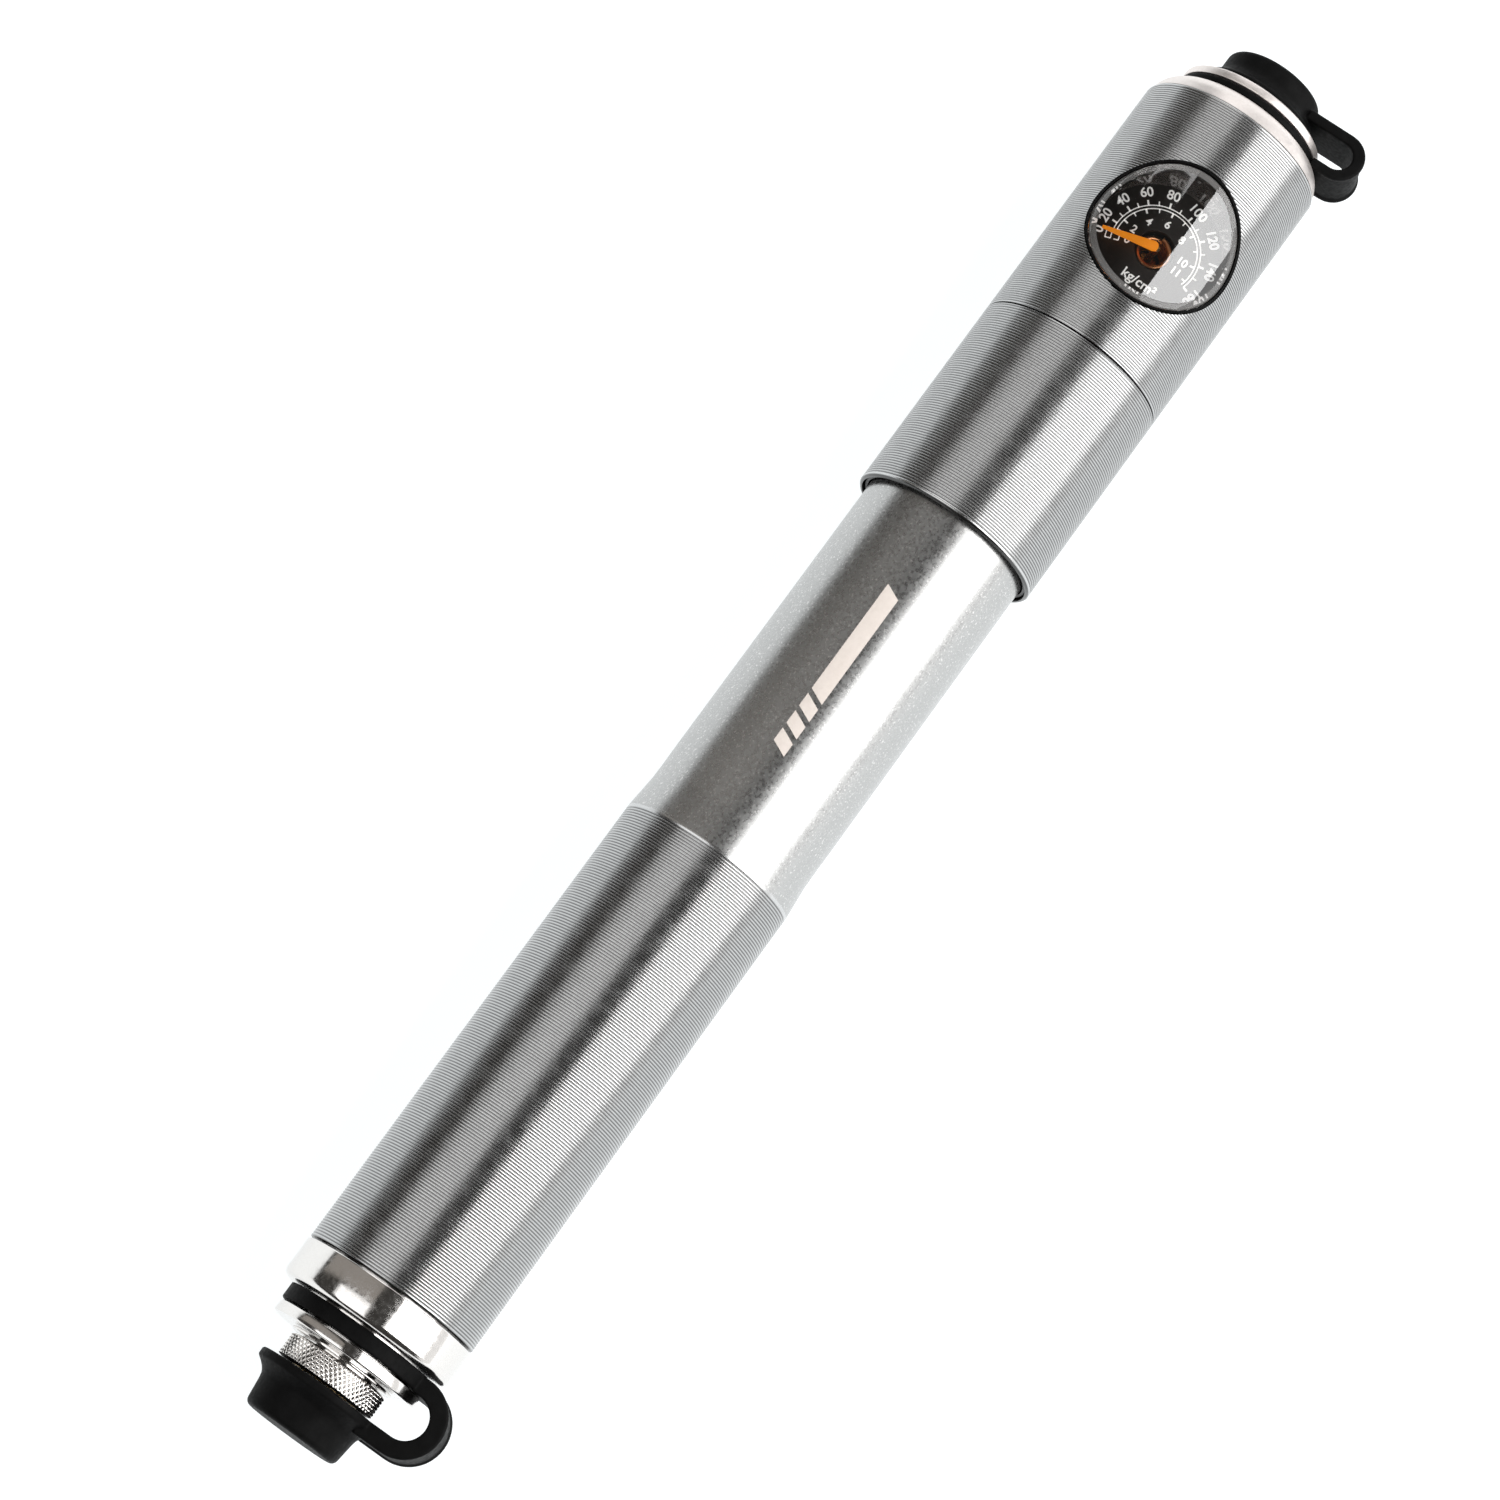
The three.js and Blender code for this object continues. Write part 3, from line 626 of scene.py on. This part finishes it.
def tube_mark():
    """A plain slanted mark printed along the smooth part of the tube."""
    points, faces = [], []
    steps = 6
    for start, end in MARK_BARS:
        first = len(points)
        for radius in (TUBE_RADIUS - 0.02, TUBE_RADIUS + 0.03):
            for step in range(steps + 1):
                share = step / steps
                angle = MARK_LOW + (MARK_HIGH - MARK_LOW) * share
                y, z = radius * math.sin(angle), radius * math.cos(angle)
                points += [(x + MARK_SLANT * share, y, z) for x in (start, end)]
        count = 2 * (steps + 1)
        for step in range(steps):
            corner = first + 2 * step
            for layer in (corner, corner + count):
                faces.append((layer, layer + 1, layer + 3, layer + 2))
            for side in (corner, corner + 1):
                faces.append((side, side + 2, side + count + 2, side + count))
        for corner in (first, first + count - 2):
            faces.append((corner, corner + 1, corner + count + 1, corner + count))
    piece = place("tube_mark_fine", points, faces, [MARK_PALE], 30)
    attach(piece, "handle")


BOTTOM_GROOVE = (-178.6, -175.8)
TOP_GROOVE = (22.8, 24.3)
GROOVE_CORE = 8.6
FLANGE_RADIUS = 10.8
COLLAR_RADIUS = 12.6
BOTTOM_BORE = 5.8


def bottom_collar():
    start, end = ends("bottom_collar")
    shoulder = TUBE_START - GAP
    (groove_start, groove_end), core = BOTTOM_GROOVE, GROOVE_CORE
    flange, radius, bore = FLANGE_RADIUS, COLLAR_RADIUS, BOTTOM_BORE
    outline = [
        (start, bore), (start, flange - 0.5), *arc(start + 0.25, flange - 0.3, 0.3, -60, 0, 4),
        *arc(groove_start - 0.15, flange - 0.25, 0.15, 10, 90, 3), (groove_start, core),
        (groove_end, core), (groove_end, radius - 1.0),
        *arc(groove_end + 1.0, radius - 1.0, 1.0, -90, 0, 8),
        *arc(shoulder - 0.2, radius - 0.2, 0.2, 0, 90, 3),
        (shoulder, TUBE_BORE - GAP), (end, TUBE_BORE - GAP), (end, bore),
    ]
    piece = turned("bottom_collar_fine", outline, [POLISHED], 128, 30)
    stand_for(piece, "handle", "polished_aluminium", "bottom_collar")


def top_collar():
    start, end = ends("top_collar")
    (groove_start, groove_end), core = TOP_GROOVE, GROOVE_CORE
    flange, spigot, bore = FLANGE_RADIUS, SPIGOT_RADIUS, 5.0
    outline = [
        (start, bore), (start, spigot), (HEAD_END + GAP, spigot),
        (HEAD_END + 0.04, HEAD_RADIUS - 0.15),
        *arc(HEAD_END + 0.1, HEAD_RADIUS - 3.3, 3.0, 14, 70, 12), (groove_start, core),
        (groove_end, core), *arc(groove_end + 0.2, flange - 0.2, 0.2, -90, 0, 3),
        *arc(end - 0.3, flange - 0.3, 0.3, 0, 90, 4), (end, bore),
    ]
    piece = turned("top_collar_fine", outline, [COLLAR_SATIN], 128, 30)
    stand_for(piece, "head", "polished_aluminium", "top_collar")


# ------------------------------------------------------------ hose end
KNURL_TEETH = 60
KNURL_PITCH = 0.9
KNURL_DEPTH = 0.28


def knurl(x, angle):
    """Depth of a diamond knurl below its peaks."""
    around = KNURL_TEETH * angle / TURN
    ridges = []
    for turn_way in (1, -1):
        cycle = (around + turn_way * x / KNURL_PITCH) % 1
        ridges.append(2 * min(cycle, 1 - cycle))
    return KNURL_DEPTH * (1 - min(ridges))


def hose_nut():
    start, end = ends("hose_nut")
    radius = radius_of("hose_nut")
    nut_end = ends("nut_washer")[0] - 0.25
    bore, spigot = 4.1, 5.5
    rows = 44
    body = [(start + 0.3 + (nut_end - start - 0.6) * i / rows, radius) for i in range(rows + 1)]
    outline = [
        (start, bore), (start, radius - 0.9), (start + 0.12, radius - 0.4), *body,
        (nut_end - 0.12, radius - 0.4), (nut_end, radius - 0.9), (nut_end, spigot),
        (end, spigot), (end, bore),
    ]
    piece = turned(
        "hose_nut_fine", outline, [POLISHED], 6 * KNURL_TEETH, 50,
        relief=lambda x, r, angle: knurl(x, angle) if r > radius - 0.01 else 0,
    )
    stand_for(piece, "hose", "polished_aluminium", "hose_nut")


def ring(node, body, slot, material, outer, inner, edge=0.1, segments=96):
    """A plain ring with slightly rounded outer edges, as long as its CAD node."""
    start, end = ends(node)
    outline = [
        (start, inner), (start, outer - edge), (start + 0.3 * edge, outer - 0.3 * edge),
        (start + edge, outer), (end - edge, outer), (end - 0.3 * edge, outer - 0.3 * edge),
        (end, outer - edge), (end, inner),
    ]
    piece = turned(node + "_fine", outline, [material], segments, 30)
    stand_for(piece, body, slot, node)


THREAD_DEPTH = 0.35
THREAD_PITCH = 0.8


def outlet_nipple():
    """The threaded outlet under the top cap."""
    start, end = ends("outlet_nipple")
    radius, bore = radius_of("outlet_nipple"), 2.0
    thread_start = ends("top_collar")[1] - 0.2
    rows = 40
    body = [(thread_start + (end - 0.3 - thread_start) * i / rows, radius) for i in range(rows + 1)]

    def thread(x, r, angle):
        if r < radius or x < thread_start:
            return 0
        cycle = (x / THREAD_PITCH - angle / TURN) % 1
        return THREAD_DEPTH * 2 * min(cycle, 1 - cycle)

    outline = [(start, bore), (start, radius), *body, (end, radius - 0.5), (end, bore)]
    piece = turned("outlet_nipple_fine", outline, [BRASS], 96, 50, relief=thread)
    stand_for(piece, "head", "brass", "outlet_nipple")


def hose():
    start, end = ends("hose")
    radius = radius_of("hose")
    outline = [(start, 0), (start, radius - 0.2), (start + 0.2, radius), (end - 0.2, radius),
               (end, radius - 0.2), (end, 0)]
    piece = turned("hose_fine", outline, [HOSE_RUBBER], 64)
    stand_for(piece, "hose", "hose_rubber", "hose")


# ------------------------------------------------------------ gauge
LENS_RADIUS = 9.95
LENS_CROWN = HEAD_RADIUS - 0.1
DIAL_TOP = heights("gauge_dial")[1]
DIAL_RADIUS = radius_of("gauge_dial")
DIAL_HOLE = 2.7
PRINT_THICKNESS = 0.03


def crown_height(radius):
    return lambda x, y: math.sqrt(radius**2 - y**2)


def standing_shell(name, loops, segments, materials, sharp=40.0, pick=None):
    """A closed solid about the gauge's axis from loops of (radius, function that gives z from
    x and y). pick gives a face's material from its row."""
    points = []
    for radius, height in loops:
        for step in range(segments):
            angle = TURN * step / segments
            x, y = radius * math.cos(angle), radius * math.sin(angle)
            points.append((x, y, height(x, y)))
    rows = range(len(loops) - 1)
    picked = [pick(row) for row in rows for _ in range(segments)] if pick else None
    return place(name, points, loft(len(loops), segments), materials, sharp, picked)


def flat(z):
    return lambda x, y: z


def gauge_lens():
    bottom = heights("gauge_lens")[0]
    inner = LENS_RADIUS - 0.9
    outside, inside = crown_height(LENS_CROWN), crown_height(LENS_CROWN - 1.4)
    rings = 16
    top = [(inner * i / rings, outside) for i in range(rings + 1)]
    under = [(inner * i / rings, inside) for i in range(rings, -1, -1)]
    edge = [
        (LENS_RADIUS - 0.12, lambda x, y: outside(x, y) - 0.01),
        (LENS_RADIUS, lambda x, y: outside(x, y) - 0.12),
    ]
    loops = [*top, *edge, (LENS_RADIUS, flat(bottom)), (inner, flat(bottom)), *under]
    skirt_end = rings + 5

    def pick(row):
        return 0 if row < rings else 1 if row < skirt_end else 2

    piece = standing_shell(
        "gauge_lens_fine", loops, 160, [CLEAR_WINDOW, CLEAR_SKIRT, CLEAR_INSIDE], 30, pick
    )
    stand_for(piece, "head", "clear_lens", "gauge_lens")


def lens_gasket():
    """A thin black ring between lens and head, whose top is finely toothed along the groove crests:
    partly a real seat ring, partly painted shade for the shadow at the window's edge.
    """
    inner, outer = LENS_RADIUS + 0.15, WINDOW_RADIUS - 0.15
    bottom = heights("lens_gasket")[0]
    crown = crown_height(HEAD_RADIUS + 0.15)
    # painted shade: the black teeth stand for the shadow of the window's edge between the groove
    # crests
    teeth = 180

    def toothed(x, y):
        return crown(x, y) - 0.12 * (1 + math.cos(teeth * math.atan2(y, x))) / 2

    loops = [(inner, flat(bottom)), (inner, toothed), (outer, toothed), (outer, flat(bottom)),
             (inner, flat(bottom))]
    piece = standing_shell("lens_gasket_fine", loops, 4 * teeth, [BLACK_RUBBER], 40)
    stand_for(piece, "head", "black_rubber", "lens_gasket")


def gauge_dial():
    low, high = heights("gauge_dial")
    bevel = 0.06
    loops = [
        (DIAL_HOLE, flat(low)), (DIAL_RADIUS, flat(low)), (DIAL_RADIUS, flat(high - bevel)),
        (DIAL_RADIUS - bevel, flat(high)), (DIAL_HOLE + bevel, flat(high)),
        (DIAL_HOLE, flat(high - bevel)), (DIAL_HOLE, flat(low)),
    ]
    piece = standing_shell("gauge_dial_fine", loops, 128, [DIAL_BLACK], 20)
    stand_for(piece, "head", "dial_print", "gauge_dial")


PSI_FULL = 160
METRIC_FULL = 11
SCALE_ZERO = -22  # degrees clockwise from +Y
SCALE_PER_PSI = 1.033
SCALE_WIDENING = 0.0021  # the marks stand farther apart towards the full scale


def dial_angle(psi):
    """Where a pressure stands on the dial: radians clockwise from +Y, seen from above."""
    return math.radians(SCALE_ZERO + SCALE_PER_PSI * psi + SCALE_WIDENING * psi**2)


def on_dial(radius, angle):
    return radius * math.sin(angle), radius * math.cos(angle)


CAPITAL_HEIGHT = 0.72  # of a font size
STROKE_SWELL = 0.035


class DialPrint:
    """Thin raised print on the dial, gathered into one mesh."""

    def __init__(self):
        self.points, self.faces = [], []

    def prism(self, outline):
        """A flat shape from its outline of (x, y) points."""
        first, count = len(self.points), len(outline)
        for height in (DIAL_TOP, DIAL_TOP + PRINT_THICKNESS):
            self.points += [(x, y, height) for x, y in outline]
        self.faces.append(tuple(first + i for i in reversed(range(count))))
        self.faces.append(tuple(first + count + i for i in range(count)))
        for i in range(count):
            after = (i + 1) % count
            self.faces.append((first + i, first + after, first + count + after, first + count + i))

    def band(self, inner, outer, start, end, steps):
        """Part of a ring between two radii and two dial angles."""
        angles = [start + (end - start) * i / steps for i in range(steps + 1)]
        for a, b in zip(angles, angles[1:]):
            self.prism([on_dial(inner, a), on_dial(inner, b), on_dial(outer, b), on_dial(outer, a)])

    def tick(self, inner, outer, angle, width):
        half = width / (inner + outer)
        self.band(inner, outer, angle - half, angle + half, 1)

    def text(self, body, height, x, y, turn):
        """Generic lettering, centred at (x, y) and turned clockwise."""
        curve = bpy.data.curves.new("lettering", "FONT")
        curve.body = body
        curve.align_x, curve.align_y = "CENTER", "CENTER"
        curve.size = height / CAPITAL_HEIGHT
        curve.offset = STROKE_SWELL
        curve.extrude = PRINT_THICKNESS / 2
        letters = bpy.data.objects.new("lettering", curve)
        bpy.context.scene.collection.objects.link(letters)
        graph = bpy.context.evaluated_depsgraph_get()
        shape = letters.evaluated_get(graph).to_mesh()
        spin = Matrix.Rotation(-turn, 4, "Z")
        shift = Vector((x, y, DIAL_TOP + PRINT_THICKNESS / 2))
        first = len(self.points)
        self.points += [tuple(spin @ v.co + shift) for v in shape.vertices]
        self.faces += [tuple(first + i for i in face.vertices) for face in shape.polygons]
        letters.evaluated_get(graph).to_mesh_clear()
        bpy.data.objects.remove(letters)
        bpy.data.curves.remove(curve)


PSI_ARC = 6.2
METRIC_ARC = 5.75
PSI_PER_METRIC = 14.22


def dial_print():
    mark = DialPrint()
    line, bold, fine = 0.075, 0.26, 0.17
    psi_long, psi_short, metric_long, metric_short = 0.75, 0.6, 0.65, 0.55
    zero, full = dial_angle(0), dial_angle(PSI_FULL)
    zero_end = zero + math.radians(12)
    for radius in (PSI_ARC, METRIC_ARC):
        mark.band(radius - line, radius + line, zero_end, full, 90)
    for psi in range(10, PSI_FULL + 1, 10):
        length, width = (psi_long, bold) if psi % 20 == 0 else (psi_short, fine)
        if dial_angle(psi) > zero_end:
            mark.tick(PSI_ARC, PSI_ARC + length, dial_angle(psi), width)
    for metric in range(1, METRIC_FULL + 1):
        length, width = (metric_long, bold) if metric % 2 == 0 else (metric_short, fine)
        angle = dial_angle(metric * PSI_PER_METRIC)
        mark.tick(METRIC_ARC - length, METRIC_ARC, angle, width)
    for inner, outer in ((PSI_ARC, PSI_ARC + psi_long), (METRIC_ARC - metric_long, METRIC_ARC)):
        far = outer if inner == PSI_ARC else inner
        mark.band(far - line, far + line, zero, zero_end, 8)
        for angle in (zero, zero_end):
            mark.tick(inner, outer, angle, fine)
    mark.band(PSI_ARC - line, PSI_ARC + line, zero, zero_end, 8)
    for psi in range(0, PSI_FULL + 1, 20):
        angle = dial_angle(psi) if psi else (zero + zero_end) / 2
        mark.text(str(psi), 1.33, *on_dial(8.0, angle), angle)
    for metric in (*range(0, METRIC_FULL, 2), METRIC_FULL):
        angle = dial_angle(metric * PSI_PER_METRIC) if metric else (zero + zero_end) / 2
        mark.text(str(metric), 1.12, *on_dial(3.95, angle), math.pi / 2)
    mark.text("kg/cm²", 1.4, -4.95, -0.75, math.pi / 2)
    mark.text("psi", 1.2, -7.2, -0.4, math.pi / 2)
    piece = place("dial_print_fine", mark.points, mark.faces, [PRINT_WHITE_PAINTED_GLOW], 30)
    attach(piece, "head")


NEEDLE_REST = math.radians(106)
NEEDLE_LENGTH = 7.8


def gauge_needle():
    """A tapered pointer with a round tail and bevelled upper edges."""
    low, high = heights("gauge_needle")
    hub, hub_centre, tip, bevel, steps = 0.7, 0.55, 0.18, 0.1, 20

    def outline(inset, height):
        radius, half_tip, point = hub - inset, tip - inset * 0.8, NEEDLE_LENGTH - inset
        tail = []
        for i in range(steps + 1):
            angle = math.pi / 2 + math.pi * i / steps
            tail.append((hub_centre + radius * math.cos(angle), radius * math.sin(angle), height))
        return [(point, half_tip, height), *tail, (point, -half_tip, height)]

    layers = [outline(0, low), outline(0, high - bevel), outline(bevel, high)]
    count = len(layers[0])
    spin = Matrix.Rotation(NEEDLE_REST, 3, "Z")
    points = [tuple(spin @ Vector(spot)) for layer in layers for spot in layer]
    faces = [tuple(reversed(range(count))), tuple(2 * count + i for i in range(count)),
             *loft(len(layers), count)]
    piece = place("gauge_needle_fine", points, faces, [NEEDLE_ORANGE_PAINTED_GLOW], 25)
    stand_for(piece, "needle", "needle_paint", "gauge_needle")


def coil(name, radius, wire, turns, bottom, top, material, per_turn=48, around=12):
    """A closed coil of round wire about the Z axis, between two heights of its middle line."""
    points = []
    rows = round(turns * per_turn) + 1
    for i in range(rows):
        angle = TURN * i / per_turn
        z = bottom + (top - bottom) * i / (rows - 1)
        for j in range(around):
            turn = TURN * j / around
            reach = radius + wire * math.cos(turn)
            points.append((reach * math.cos(angle), reach * math.sin(angle),
                           z + wire * math.sin(turn)))
    faces = loft(rows, around)
    faces.append(tuple(range(around)))
    faces.append(tuple((rows - 1) * around + j for j in range(around)))
    return place(name, points, faces, [material], 50)


def bourdon_coil():
    """The coiled tube under the dial, seen through its hole."""
    low, high = heights("bourdon_coil")
    wire = 0.4
    piece = coil("bourdon_coil_fine", 2.1, wire, 6, low + wire, high - wire, COPPER)
    stand_for(piece, "head", "copper", "bourdon_coil")


def valve_spring():
    """The spring between the check valve's poppet and its retainer, as one fixed coil."""
    start, end = ends("valve_spring")
    wire = 0.25
    piece = coil("valve_spring_fine", 2.0, wire, 4, start + wire, end - wire, STEEL, 32, 8)
    axis = Matrix.Translation((0, 0, AXIS_Z * MM))
    piece.data.transform(axis @ Matrix.Rotation(math.pi / 2, 4, "Y") @ axis.inverted())
    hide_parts("valve_spring")
    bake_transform(piece)


# ------------------------------------------------------------ caps and straps
CAP_LIP = 9.05
CAP_WAIST = 7.3


def bottom_cap():
    start, mouth = ends("bottom_cap")
    cavity, floor = 5.5, start + 1.1
    return turned("bottom_cap_body", [
        (start, 0), *arc(start + 0.9, CAP_WAIST - 1.3, 0.9, -90, -10),
        (mouth - 3.4, CAP_WAIST - 0.1), (mouth - 2.7, CAP_WAIST + 0.05),
        (mouth - 2.1, CAP_WAIST + 0.45), (mouth - 1.6, CAP_WAIST + 1.0),
        *arc(mouth - 0.9, CAP_LIP - 0.35, 0.35, -60, 0, 4),
        *arc(mouth - 0.2, CAP_LIP - 0.2, 0.2, 0, 90, 3),
        (mouth, cavity), (floor, cavity), (floor, 0),
    ], [BLACK_RUBBER], 96, 50)


def top_cap():
    mouth, end = ends("top_cap")
    cavity, floor = 5.1, end - 1.6
    return turned("top_cap_body", [
        (floor, 0), (floor, cavity), (mouth, cavity),
        *arc(mouth + 0.2, CAP_LIP - 0.2, 0.2, -90, 0, 3),
        *arc(mouth + 0.7, CAP_LIP - 0.35, 0.35, 0, 60, 4),
        (mouth + 1.5, CAP_WAIST + 0.9), (mouth + 2.0, CAP_WAIST + 0.4),
        (mouth + 2.6, CAP_WAIST + 0.1), (mouth + 3.2, CAP_WAIST),
        *arc(end - 0.8, CAP_WAIST - 0.8, 0.8, 5, 90), (end, 0),
    ], [BLACK_RUBBER], 96, 50)


STRAP_TILT = math.radians(-9)
STRAP_WIDTH = 8.4
TETHER_RING = 10.9
TETHER_BORE = 8.9


def strap_section(thickness):
    """Cross-section of the strap as (share of its thickness from inside to outside, place along
    its width), with a raised rim along both edges of its outer face."""
    half, wide, corner, rim, relief = thickness / 2, STRAP_WIDTH / 2, 0.3, 0.75, 0.25
    points = []
    for u, v, start in ((1, 1, 0), (-1, 1, 90), (-1, -1, 180), (1, -1, 270)):
        for i in range(5):
            angle = math.radians(start + 22.5 * i)
            points.append((u * (half - corner) + corner * math.cos(angle),
                           v * (wide - corner) + corner * math.sin(angle)))
    points += [(half, rim - wide), (half - relief, rim - wide + 0.15),
               (half - relief, wide - rim - 0.15), (half, wide - rim)]
    return [(0.5 + u / thickness, v) for u, v in points]


def loop_line(legs, ends_at, reach):
    """Points of a U in the strap's plane, open towards the barrel: (x, distance from the axis)."""
    (first, second), (root, tail) = legs, ends_at
    radius = abs(second - first) / 2
    middle, side = (first + second) / 2, 1 if first > second else -1
    turn_at = reach - radius
    leg_steps, bend_steps = 6, 24
    points = [(first, root + (turn_at - root) * i / leg_steps) for i in range(leg_steps)]
    for i in range(bend_steps + 1):
        angle = math.pi * i / bend_steps
        points.append((middle + side * radius * math.cos(angle),
                       turn_at + radius * math.sin(angle)))
    points += [(second, turn_at + (tail - turn_at) * i / leg_steps)
               for i in range(1, leg_steps + 1)]
    return points


def strap(name, outer, inner, ends_at, reach, eye_reach):
    """The strap between its outer and inner lines, whose legs are given by x, ring side first."""
    inside, outside = loop_line(inner, ends_at, eye_reach), loop_line(outer, ends_at, reach)
    section = strap_section(reach - eye_reach)
    tilt = Matrix.Rotation(STRAP_TILT, 3, "X")
    points = []
    for (in_x, in_out), (out_x, out_out) in zip(inside, outside):
        for share, v in section:
            spot = Vector((in_x + (out_x - in_x) * share, -in_out - (out_out - in_out) * share, v))
            points.append(tuple(tilt @ spot))
    count, rows = len(section), len(inside)
    faces = loft(rows, count)
    faces.append(tuple(range(count)))
    faces.append(tuple((rows - 1) * count + i for i in range(count)))
    return place(name, points, faces, [BLACK_RUBBER])


MOULD_GRAIN = 0.17 * MM


def moulded(piece, *others):
    """The piece and the others become one moulded body with soft inner corners."""
    for other in others:
        union = piece.modifiers.new("union", "BOOLEAN")
        union.operation, union.object, union.solver = "UNION", other, "EXACT"
    remesh = piece.modifiers.new("mould", "REMESH")
    remesh.mode, remesh.voxel_size = "VOXEL", MOULD_GRAIN
    relax = piece.modifiers.new("relax", "SMOOTH")
    relax.factor, relax.iterations = 0.5, 3
    graph = bpy.context.evaluated_depsgraph_get()
    body = bpy.data.meshes.new_from_object(piece.evaluated_get(graph))
    piece.modifiers.clear()
    piece.data = body
    piece.data.shade_smooth()
    for other in others:
        bpy.data.objects.remove(other)


def tether(name, cap_name, cap, ring_span, strap_shape):
    """Ring, strap and cap in one piece of rubber, built as one fixed mesh."""
    start, end = ring_span
    loop = turned(name + "_loop", [
        (start, TETHER_BORE), (start, TETHER_RING), (end, TETHER_RING), (end, TETHER_BORE),
    ], [BLACK_RUBBER], 96)
    piece = strap(name + "_fine", *strap_shape)
    moulded(piece, loop, cap)
    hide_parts(name, cap_name)
    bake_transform(piece)


def bottom_tether():
    mouth = ends("bottom_cap")[1]
    outer, inner = (-176.2, mouth - 2.4), (-178.6, mouth)
    leg_ends, reach, eye_reach = (9.8, 7.0), 16.5, 14.1
    shape = (outer, inner, leg_ends, reach, eye_reach)
    tether("bottom_tether", "bottom_cap", bottom_cap(), (-178.3, -176.1), shape)


def top_tether():
    mouth = ends("top_cap")[0]
    outer, inner = (22.6, mouth + 3.8), (24.0, mouth + 2.3)
    leg_ends, reach, eye_reach = (10.6, 6.6), 16.8, 15.1
    shape = (outer, inner, leg_ends, reach, eye_reach)
    tether("top_tether", "top_cap", top_cap(), (23.1, 24.0), shape)


# ------------------------------------------------------------ CAD nodes that stay
NODE_FINISHES = {
    "cylinder_gland": BLACK_PLASTIC,
    "valve_body": BRASS,
    "valve_retainer": BRASS,
    "valve_poppet": BLACK_RUBBER,
    "gauge_case": BLACK_PLASTIC,
    "gauge_stem": BRASS,
    "needle_spindle": BRASS,
    "piston": BLACK_PLASTIC,
    "piston_seal": BLACK_RUBBER,
    "hose_connector": BRASS,
}


def finish_nodes():
    for node, material in NODE_FINISHES.items():
        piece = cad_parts[node]
        for slot in piece.material_slots:
            slot.material = material


FLOOR_HALF = 1.5
FLOOR_DROP = 0.0002  # below the part, so that the two surfaces don't meet


def make_floor():
    half = FLOOR_HALF
    corners = [(-half, -half), (half, -half), (half, half), (-half, half)]
    mesh = bpy.data.meshes.new("floor")
    mesh.from_pydata([(x, y, -FLOOR_DROP) for x, y in corners], [], [(0, 1, 2, 3)])
    mesh.materials.append(FLOOR_WHITE)
    floor = bpy.data.objects.new("floor", mesh)
    bpy.context.scene.collection.objects.link(floor)


GUIDE_RADIUS = 12.8
GUIDE_BORE = 12.4
CYLINDER_BORE = 8.3
BUSH_BORE = 10.1
ROD_BORE = 4.8
CHUCK_BORE = 3.85
CHUCK_EDGE = 0.4
GASKET_BORE = 1.4

make_lights()
make_floor()
gauge_head()
grip_sleeve()
handle_tube()
tube_mark()
bottom_collar()
top_collar()
hose_nut()
ring("nut_washer", "handle", "polished_aluminium", POLISHED, radius_of("nut_washer"), BOTTOM_BORE)
ring("sleeve_guide", "head", "black_plastic", BLACK_PLASTIC, GUIDE_RADIUS, GUIDE_BORE)
ring("inner_cylinder", "head", "steel", STEEL, radius_of("inner_cylinder"), CYLINDER_BORE,
     segments=128)
ring("tube_bush", "handle", "black_plastic", BLACK_PLASTIC, radius_of("tube_bush"), BUSH_BORE)
ring("piston_rod", "handle", "steel", STEEL, radius_of("piston_rod"), ROD_BORE)
ring("hose_chuck", "hose", "brass", BRASS, radius_of("hose_chuck"), CHUCK_BORE, CHUCK_EDGE)
ring("chuck_gasket", "hose", "black_rubber", BLACK_RUBBER, radius_of("chuck_gasket"), GASKET_BORE)
outlet_nipple()
hose()
gauge_lens()
lens_gasket()
gauge_dial()
dial_print()
gauge_needle()
bourdon_coil()
valve_spring()
bottom_tether()
top_tether()
finish_nodes()
